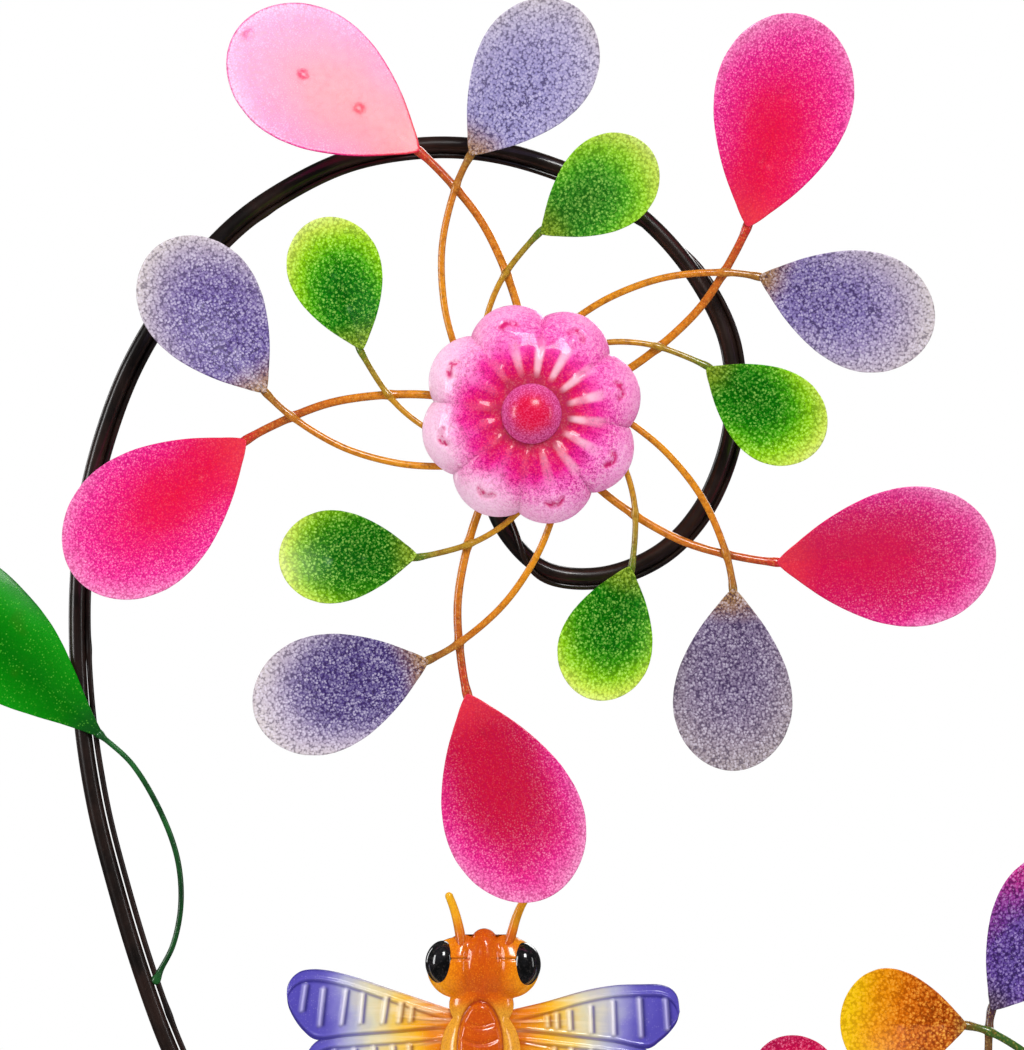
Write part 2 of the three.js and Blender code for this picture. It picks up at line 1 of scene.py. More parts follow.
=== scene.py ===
"""Looks of the garden wind spinner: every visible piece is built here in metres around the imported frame."""

import math

import bpy
import numpy as np
from mathutils import Matrix, Vector


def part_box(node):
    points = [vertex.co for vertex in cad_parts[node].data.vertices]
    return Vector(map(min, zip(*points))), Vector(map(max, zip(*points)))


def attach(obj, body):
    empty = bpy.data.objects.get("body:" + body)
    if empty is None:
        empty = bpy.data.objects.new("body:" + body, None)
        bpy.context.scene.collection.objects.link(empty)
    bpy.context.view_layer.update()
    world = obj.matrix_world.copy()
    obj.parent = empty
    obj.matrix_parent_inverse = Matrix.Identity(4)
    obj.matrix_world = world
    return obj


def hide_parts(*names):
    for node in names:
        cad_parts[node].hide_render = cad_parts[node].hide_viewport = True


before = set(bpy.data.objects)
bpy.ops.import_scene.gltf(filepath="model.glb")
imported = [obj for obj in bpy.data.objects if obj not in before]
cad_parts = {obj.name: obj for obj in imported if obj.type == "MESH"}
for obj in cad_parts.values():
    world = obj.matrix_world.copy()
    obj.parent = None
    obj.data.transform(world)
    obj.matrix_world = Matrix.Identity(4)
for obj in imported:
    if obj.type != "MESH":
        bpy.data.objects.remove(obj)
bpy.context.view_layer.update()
MM = 0.001
rad = math.radians


def centre_of(node):
    lo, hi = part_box(node)
    return (lo + hi) / 2


# ---- where the wheels are, from the frame ---------------------------------
hub_lo, hub_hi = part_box("main_hub")
WHEEL_Y = hub_hi.y * 1000 - 13.0  # the main wheel's mid plane, mm
H1 = np.array([centre_of("main_hub").x * 1000, WHEEL_Y, centre_of("main_hub").z * 1000])
H2 = np.array([v * 1000 for v in centre_of("second_hub")])

# ---- camera ---------------------------------------------------------------
cam_data = bpy.data.cameras.new("view_camera")
cam_data.lens = 159.2
cam_data.sensor_width = 36
cam_data.clip_start, cam_data.clip_end = 0.05, 100
cam = bpy.data.objects.new("view_camera", cam_data)
bpy.context.scene.collection.objects.link(cam)
cam.location = (0.01819, H1[1] * MM - 2.6, 1.53829)
cam.rotation_euler = (math.pi / 2, 0, 0)
bpy.context.scene.camera = cam
bpy.context.scene.view_settings.view_transform = "Standard"


# ---- node helper ------------------------------------------------------------
class Paint:
    """A small builder for a procedural material. Colours are given as sRGB 0..255."""

    def __init__(self, name):
        self.mat = bpy.data.materials.new(name)
        self.mat.use_nodes = True
        self.tree = self.mat.node_tree
        self.bsdf = self.tree.nodes["Principled BSDF"]

    def new(self, kind, **props):
        node = self.tree.nodes.new(kind)
        for k, v in props.items():
            setattr(node, k, v)
        return node

    def put(self, socket, value):
        if hasattr(value, "is_linked") or hasattr(value, "links"):
            self.tree.links.new(value, socket)
        else:
            socket.default_value = value

    def math(self, op, a, b=0.0, c=0.0, clamp=False):
        n = self.new("ShaderNodeMath", operation=op, use_clamp=clamp)
        self.put(n.inputs[0], a)
        self.put(n.inputs[1], b)
        self.put(n.inputs[2], c)
        return n.outputs[0]

    def vec(self, op, a, b=(0, 0, 0), scale=None):
        n = self.new("ShaderNodeVectorMath", operation=op)
        self.put(n.inputs[0], a)
        if scale is not None:
            self.put(n.inputs["Scale"], scale)
        else:
            self.put(n.inputs[1], b)
        return n.outputs["Value"] if op in ("LENGTH", "DOT_PRODUCT", "DISTANCE") else n.outputs["Vector"]

    def smooth(self, x, lo, hi, a=0.0, b=1.0):
        n = self.new("ShaderNodeMapRange", interpolation_type="SMOOTHSTEP", clamp=True)
        for s, v in zip(n.inputs[:5], (x, lo, hi, a, b)):
            self.put(s, v)
        return n.outputs[0]

    def ramp(self, x, stops, mode="LINEAR"):
        n = self.new("ShaderNodeValToRGB")
        n.color_ramp.interpolation = mode
        e = n.color_ramp.elements
        while len(e) < len(stops):
            e.new(0.5)
        for item, (pos, colour) in zip(e, stops):
            item.position = pos
            item.color = srgb(colour)
        self.put(n.inputs[0], x)
        return n.outputs[0]

    def mix(self, f, a, b, blend="MIX"):
        n = self.new("ShaderNodeMix", data_type="RGBA", blend_type=blend, clamp_factor=True)
        self.put(n.inputs[0], f)
        self.put(n.inputs[6], srgb(a) if isinstance(a, tuple) and len(a) == 3 else a)
        self.put(n.inputs[7], srgb(b) if isinstance(b, tuple) and len(b) == 3 else b)
        return n.outputs[2]

    def noise(self, vec, scale, detail=3.0, rough=0.5, distort=0.0):
        n = self.new("ShaderNodeTexNoise")
        self.put(n.inputs["Vector"], vec)
        n.inputs["Scale"].default_value = scale
        n.inputs["Detail"].default_value = detail
        n.inputs["Roughness"].default_value = rough
        n.inputs["Distortion"].default_value = distort
        return n.outputs["Fac"]

    def cells(self, vec, scale, feature="F1", randomness=1.0):
        n = self.new("ShaderNodeTexVoronoi", feature=feature)
        self.put(n.inputs["Vector"], vec)
        n.inputs["Scale"].default_value = scale
        n.inputs["Randomness"].default_value = randomness
        return n

    def attribute(self, name):
        n = self.new("ShaderNodeAttribute", attribute_type="GEOMETRY", attribute_name=name)
        return n.outputs["Fac"]

    def place(self):
        """Millimetres in the piece's own frame, and the same moved on for each copy so that no two have the same grain."""
        coord = self.new("ShaderNodeTexCoord").outputs["Object"]
        mm = self.vec("SCALE", coord, scale=1000.0)
        index = self.new("ShaderNodeObjectInfo").outputs["Object Index"]
        shift = self.vec("SCALE", (37.3, 19.1, 11.7), scale=index)
        return mm, self.vec("ADD", mm, shift)

    def bump(self, height, distance_mm, strength=1.0, normal=None):
        n = self.new("ShaderNodeBump")
        n.inputs["Strength"].default_value = strength
        n.inputs["Distance"].default_value = distance_mm * MM
        self.put(n.inputs["Height"], height)
        if normal is not None:
            self.put(n.inputs["Normal"], normal)
        return n.outputs[0]

    def finish(self, colour, roughness=0.35, metallic=0.0, coat=0.0, coat_rough=0.1, normal=None, specular=0.5):
        b = self.bsdf
        self.put(b.inputs["Base Color"], colour)
        self.put(b.inputs["Roughness"], roughness)
        b.inputs["Metallic"].default_value = metallic
        b.inputs["Coat Weight"].default_value = coat
        b.inputs["Coat Roughness"].default_value = coat_rough
        b.inputs["Specular IOR Level"].default_value = specular
        if normal is not None:
            self.put(b.inputs["Normal"], normal)
        return self.mat


def srgb(c):
    if len(c) == 4:
        return c
    out = []
    for v in c:
        v = v / 255
        out.append(v / 12.92 if v <= 0.04045 else ((v + 0.055) / 1.055) ** 2.4)
    return (*out, 1.0)


# ---- mesh helpers -----------------------------------------------------------
def build(name, verts, faces, mat, body, replaces=(), slot=None, matrix=None, smooth=True, sharp=None, index=0, attrs=None):
    """verts in millimetres (local to matrix if given)."""
    me = bpy.data.meshes.new(name)
    me.from_pydata([tuple(v) for v in np.asarray(verts, float) * MM], [], [tuple(int(i) for i in f) for f in faces])
    me.validate()
    if attrs:
        for key, values in attrs.items():
            a = me.attributes.new(key, "FLOAT", "POINT")
            a.data.foreach_set("value", np.asarray(values, np.float32))
    me.update()
    if smooth:
        me.shade_smooth()
        if sharp:
            me.set_sharp_from_angle(angle=rad(sharp))
    me.materials.append(mat)
    ob = bpy.data.objects.new(name, me)
    bpy.context.scene.collection.objects.link(ob)
    if matrix is not None:
        ob.matrix_world = matrix
    ob.pass_index = index
    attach(ob, body)
    if replaces:
        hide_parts(*([replaces] if isinstance(replaces, str) else replaces))
    return ob


def placed(origin, x, y, z):
    m = Matrix.Identity(4)
    for c, v in enumerate((x, y, z)):
        for r in range(3):
            m[r][c] = v[r]
    for r in range(3):
        m[r][3] = origin[r] * MM
    return m


def centripetal(points, sub=48):
    """The same centripetal Catmull-Rom curve as the solids use."""
    P = np.asarray(points, float)
    out = []
    for i in range(len(P) - 1):
        p1, p2 = P[i], P[i + 1]
        p0 = P[i - 1] if i > 0 else 2 * P[0] - P[1]
        p3 = P[i + 2] if i + 2 < len(P) else 2 * P[-1] - P[-2]
        d0, d1, d2 = (max(np.sum((a - b) ** 2) ** 0.25, 1e-4) for a, b in ((p0, p1), (p1, p2), (p2, p3)))
        t1 = ((p1 - p0) / d0 - (p2 - p0) / (d0 + d1) + (p2 - p1) / d1) * d1
        t2 = ((p2 - p1) / d1 - (p3 - p1) / (d1 + d2) + (p3 - p2) / d2) * d1
        w = np.linspace(0, 1, sub, endpoint=False)[:, None]
        out.append(p1 + t1 * w + (-3 * p1 + 3 * p2 - 2 * t1 - t2) * w**2 + (2 * p1 - 2 * p2 + t1 + t2) * w**3)
    out.append(P[-1:])
    return np.vstack(out)


def lengths(path):
    return np.concatenate([[0], np.cumsum(np.linalg.norm(np.diff(path, axis=0), axis=1))])


def evenly(path, step):
    s = lengths(path)
    n = max(2, int(round(s[-1] / step)) + 1)
    q = np.linspace(0, s[-1], n)
    return np.stack([np.interp(q, s, path[:, i]) for i in range(3)], 1)


def tube(path, radius, sides=20, end=0.35):
    """Rings across the path, with rounded ends. Returns verts, faces, and the distance along for each vertex."""
    path = np.asarray(path, float)
    n = len(path)
    r = np.full(n, radius, float) if np.isscalar(radius) else np.asarray(radius, float)
    tang = np.gradient(path, axis=0)
    tang /= np.linalg.norm(tang, axis=1)[:, None]
    side = np.array([0.0, 1.0, 0.0])
    if abs(side @ tang[0]) > 0.95:
        side = np.array([1.0, 0.0, 0.0])
    s = lengths(path)
    ang = 2 * math.pi * np.arange(sides) / sides
    rings, along = [], []

    def ring(centre, t, sd, rr, at):
        other = np.cross(t, sd)
        rings.append(centre + rr * (np.cos(ang)[:, None] * sd + np.sin(ang)[:, None] * other))
        along.append(np.full(sides, at))

    frames = []
    for i in range(n):
        side = side - (side @ tang[i]) * tang[i]
        side /= np.linalg.norm(side)
        frames.append(side.copy())
    for a in (75, 50, 25):
        ring(path[0] - tang[0] * r[0] * end * math.sin(rad(a)), tang[0], frames[0], r[0] * (1 - end + end * math.cos(rad(a))), 0)
    for i in range(n):
        ring(path[i], tang[i], frames[i], r[i], s[i])
    for a in (25, 50, 75):
        ring(path[-1] + tang[-1] * r[-1] * end * math.sin(rad(a)), tang[-1], frames[-1], r[-1] * (1 - end + end * math.cos(rad(a))), s[-1])
    m = len(rings)
    verts = np.vstack(rings + [[path[0] - tang[0] * r[0] * end], [path[-1] + tang[-1] * r[-1] * end]])
    faces = []
    for i in range(m - 1):
        for j in range(sides):
            k = (j + 1) % sides
            faces.append((i * sides + j, i * sides + k, (i + 1) * sides + k, (i + 1) * sides + j))
    c0, c1 = m * sides, m * sides + 1
    for j in range(sides):
        k = (j + 1) % sides
        faces.append((c0, k, j))
        faces.append((c1, (m - 1) * sides + j, (m - 1) * sides + k))
    return verts, faces, np.concatenate(along + [[0.0], [s[-1]]])


def lathe(profile, segments=72, round_mm=0.4):
    """Closed turned piece about Y from [radius, y], its corners eased. Points on the axis close it."""
    pts = [np.array(p, float) for p in profile]
    closed = pts[0][0] > 1e-6
    soft = []
    n = len(pts)
    for i, p in enumerate(pts):
        if not closed and i in (0, n - 1):
            soft.append(p)
            continue
        a, b = pts[i - 1], pts[(i + 1) % n]
        la, lb = np.linalg.norm(a - p), np.linalg.norm(b - p)
        cos = (a - p) @ (b - p) / (la * lb)
        if cos < -0.93:
            soft.append(p)
            continue
        e = min(round_mm, la * 0.4, lb * 0.4)
        pa, pb = p + (a - p) / la * e, p + (b - p) / lb * e
        for w in (0, 0.25, 0.5, 0.75, 1):
            soft.append((1 - w) ** 2 * pa + 2 * w * (1 - w) * p + w**2 * pb)
    soft = np.array(soft)
    verts, faces, idx = [], [], []
    for r, y in soft:
        if r < 1e-6:
            idx.append([len(verts)])
            verts.append((0, y, 0))
        else:
            idx.append(list(range(len(verts), len(verts) + segments)))
            for j in range(segments):
                a = 2 * math.pi * j / segments
                verts.append((r * math.cos(a), y, r * math.sin(a)))
    m = len(soft)
    for i in range(m if closed else m - 1):
        A, B = idx[i], idx[(i + 1) % m]
        for j in range(segments):
            k = (j + 1) % segments
            if len(A) == 1 and len(B) == 1:
                continue
            if len(A) == 1:
                faces.append((A[0], B[k], B[j]))
            elif len(B) == 1:
                faces.append((A[j], A[k], B[0]))
            else:
                faces.append((A[j], A[k], B[k], B[j]))
    verts = np.array(verts)
    vol = 0.0
    for f in faces:
        for q in range(1, len(f) - 1):
            vol += np.dot(verts[f[0]], np.cross(verts[f[q]], verts[f[q + 1]]))
    if vol < 0:
        faces = [tuple(reversed(f)) for f in faces]
    return verts, faces


def upright(verts):
    """A piece turned about Y is stood up on Z."""
    v = np.asarray(verts, float)
    return np.stack([v[:, 0], -v[:, 2], v[:, 1]], 1)


def polar(r, deg, y=0.0):
    return np.array([r * math.cos(rad(deg)), y, r * math.sin(rad(deg))])


def hermite(xs, ys, x):
    """Monotone cubic interpolation."""
    xs, ys = np.asarray(xs, float), np.asarray(ys, float)
    h = np.diff(xs)
    d = np.diff(ys) / h
    m = np.zeros_like(xs)
    m[0], m[-1] = d[0], d[-1]
    for i in range(1, len(xs) - 1):
        if d[i - 1] * d[i] > 0:
            w1, w2 = 2 * h[i] + h[i - 1], h[i] + 2 * h[i - 1]
            m[i] = (w1 + w2) / (w1 / d[i - 1] + w2 / d[i])
    x = np.clip(x, xs[0], xs[-1])
    i = np.clip(np.searchsorted(xs, x) - 1, 0, len(xs) - 2)
    t = (x - xs[i]) / h[i]
    return (ys[i] * (2 * t**3 - 3 * t**2 + 1) + h[i] * m[i] * (t**3 - 2 * t**2 + t)
            + ys[i + 1] * (-2 * t**3 + 3 * t**2) + h[i] * m[i + 1] * (t**3 - t**2))


# ---- the petals' shared shape -----------------------------------------------
OUTLINE = [
    (-0.012, 0.0), (0.0, 0.06), (0.0625, 0.225), (0.125, 0.375), (0.1875, 0.515), (0.25, 0.635), (0.3125, 0.74),
    (0.375, 0.83), (0.4375, 0.905), (0.5, 0.955), (0.5625, 0.99), (0.625, 1.0), (0.6875, 0.985), (0.75, 0.935),
    (0.8125, 0.86), (0.875, 0.735), (0.9375, 0.54), (0.97, 0.38), (1.0, 0.0),
]
LEAF_OUTLINE = [
    (0.0, 0.0), (0.05, 0.14), (0.124, 0.3), (0.227, 0.54), (0.32, 0.74), (0.4, 0.87), (0.5, 0.96), (0.62, 1.0),
    (0.72, 0.96), (0.82, 0.81), (0.9, 0.57), (0.96, 0.28), (1.0, 0.0),
]
PITCH = 16.0
SHEET = 1.2
MID = 0.58

MAIN = {
    "magenta": dict(path=[[28, 25.5], [42, 24], [60.5, 25.2], [87.4, 28.9], [114.2, 32.8], [141.1, 37.7]], tip=[161.7, 41.3],
                    axis=74.3, length=121.3, half=39.4, wire=2.35, layer=2.6, dish=3.6, reach=0.93),
    "lavender": dict(path=[[28, 95], [42, 77], [60.5, 64.5], [80.6, 55.5], [107.5, 45.6], [134.4, 36.3]], tip=[149.9, 30.9],
                     axis=-18.5, length=100.6, half=33.0, wire=2.0, layer=-2.1, dish=3.2, reach=0.75),
    "green": dict(path=[[29.6, 71.1], [41.8, 58.2], [54.3, 47], [67.2, 37.3], [80.6, 28.2]], tip=[102.9, 15.0],
                  axis=-34.9, length=76.4, half=26.1, wire=1.7, layer=-2.1, dish=2.8, reach=0.75, side=-1.5),
}
SECOND = {
    "yellow": dict(path=[[25.0, 69], [44.2, 72], [60.8, 75.9], [79.5, 81.3], [95.2, 87.8], [110.9, 95.4], [124.2, 101.6], [137.5, 107.6]],
                   tip=[145.8, 112.4], axis=178, length=70.0, half=29.8, wire=2.2, layer=-1.6, dish=3.0, reach=0.75),
    "purple": dict(path=[[25.0, 106], [31.6, 109], [47.2, 116.5], [66.4, 117.4], [87, 115.4], [106.4, 112.8], [127.7, 109.2]],
                   tip=[149.7, 105.4], axis=56.5, length=100.5, half=34.5, wire=2.2, layer=1.6, dish=3.2, reach=0.75),
    "red": dict(path=[[25.0, 100.5], [31.4, 100], [44.8, 98], [61.6, 96], [84, 91], [112, 82]],
                tip=[137.4, 75.0], axis=68, length=71.5, half=24.0, wire=1.6, layer=1.0, dish=2.4, reach=0.75),
}


def axes(axis, pitch=PITCH):
    a, b = rad(axis), rad(pitch)
    u = np.array([math.cos(a), 0, math.sin(a)])
    left = np.array([-math.sin(a), 0, math.cos(a)])
    front = np.array([0, -1.0, 0])
    return u, left * math.cos(b) + front * math.sin(b), front * math.cos(b) - left * math.sin(b)


def dish_at(blade, t):
    f = 1 - t / MID if t < MID else (t - MID) / (1 - MID)
    return blade["dish"] * (1 - f * f)


def sheet_petal(length, half, dish, lift, side=0.0, outline=OUTLINE, dents=(), per_side=60, rings=34, flare=0.0, crease=0.0):
    """A pressed sheet, dished about its middle, with a rounded rim and spot-weld dents."""
    phi = np.linspace(0, math.pi, per_side + 1)
    t0 = outline[0][0]
    t = t0 + (1 - t0) * (1 - np.cos(phi)) / 2
    w2 = hermite([o[0] for o in outline], [o[1] ** 2 for o in outline], t)
    w = np.sqrt(np.maximum(w2, 0)) * half
    rim = np.concatenate([np.stack([t * length, w], 1), np.stack([t[::-1] * length, -w[::-1]], 1)[1:-1]])
    n = len(rim)
    edge = np.roll(rim, -1, 0) - np.roll(rim, 1, 0)
    normal = np.stack([-edge[:, 1], edge[:, 0]], 1)
    normal /= np.linalg.norm(normal, axis=1)[:, None]
    c = np.array([MID * length, 0.0])
    inside = rim - normal * (SHEET / 2)

    def depth(p, f):
        d = dish * (1 - f**2) - flare * np.clip((f - 0.8) / 0.2, 0, 1) ** 2
        for x, y, deep, wide in dents:
            d = d + deep * np.exp(-(((p[:, 0] - x) ** 2 + (p[:, 1] - y) ** 2) / (2 * wide**2)))
        if crease:
            d = d + crease * np.exp(-np.abs(p[:, 1]) / (0.05 * half + 1.2)) * np.clip(1.1 - p[:, 0] / length, 0, 1)
        return d

    verts, faces = [], []

    def layer(points, f, z):
        start = len(verts)
        d = depth(points, f)
        for p, dd in zip(points, d):
            verts.append((p[0], p[1] + side, lift - dd + z))
        return start

    fs = (np.arange(1, rings + 1) / rings) ** 0.92
    rows = []
    for f in fs:
        rows.append(layer(c + (inside - c) * f, f, SHEET / 2))
    for a in (60, 30, 0, -30, -60):
        rows.append(layer(inside + normal * (SHEET / 2) * math.cos(rad(a)), 1.0, SHEET / 2 * math.sin(rad(a))))
    for f in fs[::-1]:
        rows.append(layer(c + (inside - c) * f, f, -SHEET / 2))
    top = layer(c[None], np.array([0.0]), SHEET / 2)
    low = layer(c[None], np.array([0.0]), -SHEET / 2)
    for a, b in zip(rows[:-1], rows[1:]):
        for i in range(n):
            j = (i + 1) % n
            faces.append((a + i, b + i, b + j, a + j))
    for i in range(n):
        j = (i + 1) % n
        faces.append((top, rows[0] + i, rows[0] + j))
        faces.append((low, rows[-1] + j, rows[-1] + i))
    v = np.array(verts)
    vol = sum(np.dot(v[f[0]], np.cross(v[f[1]], v[f[2]])) + (np.dot(v[f[0]], np.cross(v[f[2]], v[f[3]])) if len(f) == 4 else 0) for f in faces)
    if vol < 0:
        faces = [tuple(reversed(f)) for f in faces]
    return v, faces


def arm_path(blade, turn):
    u, left, n = axes(blade["axis"] + turn)
    base = polar(blade["tip"][0], blade["tip"][1] + turn, blade["layer"])
    pts = [polar(r, a + turn, blade["layer"]) for r, a in blade["path"]] + [base]
    t = 0.15
    while t < blade["reach"] + 0.01:
        pts.append(base + u * t * blade["length"] - n * dish_at(blade, t))
        t += 0.2
    return np.array(pts), base, (u, left, n)


# ---- paints -------------------------------------------------------------------
def petal_paint(name, length, half, dark, centre, stops, tip, tip_to, size, pale_amount, dark_amount, pale, copies=None, specular=0.22, flake=(0.48, 0.24), seam=(0.4, 0.75)):
    """Sprayed and crackled enamel: colour runs from a centre out to the rim, with a tip colour at the wire's end."""
    p = Paint(name)
    mm, grain = p.place()
    xyz = p.new("ShaderNodeSeparateXYZ")
    p.put(xyz.inputs[0], mm)
    t = p.math("DIVIDE", xyz.outputs[0], length)
    q = p.math("DIVIDE", xyz.outputs[1], half)
    out = p.math("DIVIDE", p.math("MAXIMUM", p.math("SUBTRACT", t, centre[0]), 0.0), centre[1])
    across = p.math("MULTIPLY", p.math("SUBTRACT", q, centre[3]), centre[2])
    g = p.math("SQRT", p.math("ADD", p.math("MULTIPLY", out, out), p.math("MULTIPLY", across, across)))
    cloud = p.noise(grain, 0.045, 3, 0.55)
    g = p.math("ADD", g, p.math("MULTIPLY", p.math("SUBTRACT", cloud, 0.5), 0.2))
    base = p.ramp(g, stops)
    index = p.new("ShaderNodeObjectInfo").outputs["Object Index"]
    # per-copy tints: some petals darker, paler or greyer than the rest, partly the paint's own spread and partly
    # painted light and shade for how each petal faces the light
    for number, (colour, how_much, reach) in (copies or {}).items():
        same = p.math("COMPARE", index, float(number), 0.1)
        base = p.mix(p.math("MULTIPLY", p.math("MULTIPLY", same, how_much), p.smooth(g, reach, reach - 0.5)), base, colour)
    near = p.math("ADD", t, p.math("MULTIPLY", p.math("SUBTRACT", cloud, 0.5), 0.12))
    base = p.mix(p.smooth(near, tip_to, 0.0), base, tip)
    # spatter: pale dots and dark gaps between them, bent so that none is round, with finer dust over both
    bent = p.vec("ADD", grain, p.vec("SCALE", p.new_noise_vec(grain, 0.9), scale=size * 0.9))
    v1 = p.cells(bent, 1 / size)
    v2 = p.cells(bent, 1 / (size * 0.55))
    tone = p.new("ShaderNodeSeparateColor")
    p.put(tone.inputs[0], v1.outputs["Color"])
    tone2 = p.new("ShaderNodeSeparateColor")
    p.put(tone2.inputs[0], v2.outputs["Color"])
    outer = p.smooth(g, 0.1, 0.9)
    dot = p.math("MULTIPLY", p.smooth(v1.outputs["Distance"], *flake), p.math("ADD", 0.25, p.math("MULTIPLY", p.smooth(tone.outputs[0], 0.15, 0.8), 0.75)))
    dust = p.math("MULTIPLY", p.smooth(v2.outputs["Distance"], 0.55, 0.2), p.smooth(tone2.outputs[0], 0.45, 0.95))
    light = p.math("MAXIMUM", dot, p.math("MULTIPLY", dust, 0.8))
    gap = p.math("MULTIPLY", p.smooth(v1.outputs["Distance"], *seam), p.math("SUBTRACT", 1.0, p.math("MULTIPLY", dust, 0.8)))
    amount = p.math("ADD", pale_amount[0], p.math("MULTIPLY", outer, pale_amount[1] - pale_amount[0]))
    amount2 = p.math("ADD", dark_amount[0], p.math("MULTIPLY", outer, dark_amount[1] - dark_amount[0]))
    patch = p.math("ADD", 0.8, p.math("MULTIPLY", p.smooth(p.noise(grain, 0.1, 2, 0.5), 0.3, 0.7), 0.35))
    colour = p.mix(p.math("MULTIPLY", gap, amount2), base, dark)
    colour = p.mix(p.math("MULTIPLY", light, p.math("MULTIPLY", amount, patch)), colour, pale)
    normal = p.bump(p.math("ADD", light, p.math("MULTIPLY", p.noise(grain, 1.2, 2, 0.6), 0.7)), 0.04, 0.4)
    rough = p.math("ADD", 0.17, p.math("MULTIPLY", p.noise(grain, 0.3, 2, 0.5), 0.1))
    return p.finish(colour, rough, 0.0, 0.0, 0.18, normal, specular)


def new_noise_vec(self, vec, scale):
    n = self.new("ShaderNodeTexNoise")
    self.put(n.inputs["Vector"], vec)
    n.inputs["Scale"].default_value = scale
    n.inputs["Detail"].default_value = 1.0
    return self.vec("SUBTRACT", n.outputs["Color"], (0.5, 0.5, 0.5))


Paint.new_noise_vec = new_noise_vec

paints = {}
paints["magenta"] = petal_paint(
    "magenta_enamel", 121.3, 39.4, (166, 0, 92), (0.42, 0.62, 0.80, 0.0),
    [(0.0, (222, 2, 58)), (0.29, (224, 1, 76)), (0.55, (231, 10, 116)), (0.76, (236, 36, 144)), (0.86, (238, 88, 166)), (1.0, (241, 146, 196))],
    (224, 44, 62), 0.22, 1.25, (0.05, 0.36), (0.2, 0.56), (255, 196, 228),
    {4: ((190, 0, 44), 0.8, 0.85), 5: ((200, 2, 70), 0.6, 0.95)}, 0.5)
paints["lavender"] = petal_paint(
    "lavender_enamel", 100.6, 33.0, (42, 28, 66), (0.40, 0.60, 0.72, -0.05),
    [(0.0, (110, 94, 154)), (0.3, (116, 100, 162)), (0.55, (144, 128, 174)), (0.8, (176, 162, 182)), (1.0, (198, 187, 188))],
    (150, 108, 52), 0.2, 1.5, (0.42, 0.52), (0.72, 0.56), (224, 216, 234),
    {2: ((164, 162, 210), 0.45, 1.2), 3: ((76, 50, 132), 0.62, 1.0), 4: ((48, 26, 100), 0.74, 0.9), 5: ((100, 82, 86), 0.6, 1.9)}, 0.2, (0.56, 0.32), (0.53, 0.76))
paints["green"] = petal_paint(
    "green_enamel", 76.4, 26.1, (6, 66, 4), (0.42, 0.60, 0.62, -0.08),
    [(0.0, (2, 101, 0)), (0.3, (12, 122, 2)), (0.48, (66, 160, 2)), (0.68, (140, 202, 14)), (0.86, (196, 220, 74)), (1.0, (222, 232, 130))],
    (124, 148, 32), 0.23, 1.7, (0.3, 0.5), (0.66, 0.42), (206, 252, 122),
    {4: ((2, 84, 0), 0.6, 1.0), 5: ((4, 100, 0), 0.4, 0.9), 2: ((120, 176, 80), 0.15, 2.0)}, 0.1)
paints["yellow"] = petal_paint(
    "yellow_enamel", 70.0, 29.8, (112, 36, 0), (0.06, 0.85, 0.25, 0.0),
    [(0.0, (168, 78, 20)), (0.3, (186, 88, 14)), (0.55, (206, 106, 8)), (0.75, (222, 142, 6)), (0.92, (226, 172, 8)), (1.1, (228, 184, 10))],
    (150, 106, 50), 0.12, 1.9, (0.55, 0.3), (0.85, 0.35), (246, 184, 74), None, 0.04)
paints["purple"] = petal_paint(
    "purple_enamel", 100.5, 34.5, (30, 12, 58), (0.42, 0.62, 0.3, 0.0),
    [(0.0, (90, 66, 148)), (0.16, (98, 62, 152)), (0.34, (150, 50, 150)), (0.55, (206, 40, 140)), (1.0, (224, 50, 136))],
    (84, 66, 84), 0.18, 1.8, (0.45, 0.36), (0.75, 0.6), (206, 186, 232))
paints["red"] = petal_paint(
    "crimson_enamel", 71.5, 24.0, (130, 0, 46), (0.4, 0.62, 0.7, 0.0),
    [(0.0, (214, 6, 52)), (0.45, (212, 8, 62)), (0.75, (200, 12, 76)), (1.0, (176, 14, 74))],
    (150, 30, 40), 0.15, 1.6, (0.16, 0.42), (0.3, 0.5), (250, 160, 194))


def wire_paint(name, stops, cell=1.5):
    """Enamel on the wires: colour changes along the wire, given from 0 at the hub to 1 at the petal."""
    p = Paint(name)
    mm, grain = p.place()
    a = p.attribute("along")
    a = p.math("ADD", a, p.math("MULTIPLY", p.math("SUBTRACT", p.noise(grain, 0.06, 2, 0.5), 0.5), 0.25))
    base = p.ramp(a, stops)
    v = p.cells(grain, 1 / cell)
    spot = p.smooth(v.outputs["Distance"], 0.5, 0.12)
    blot = p.smooth(p.noise(grain, 0.35, 3, 0.6), 0.45, 0.75)
    colour = p.mix(p.math("MULTIPLY", spot, 0.22), base, (252, 210, 96))
    colour = p.mix(p.math("MULTIPLY", blot, 0.6), colour, (112, 46, 8))
    normal = p.bump(p.math("ADD", p.noise(grain, 0.9, 3, 0.6), p.math("MULTIPLY", spot, 0.4)), 0.08, 0.6)
    return p.finish(colour, 0.26, 0.0, 0.9, 0.07, normal)


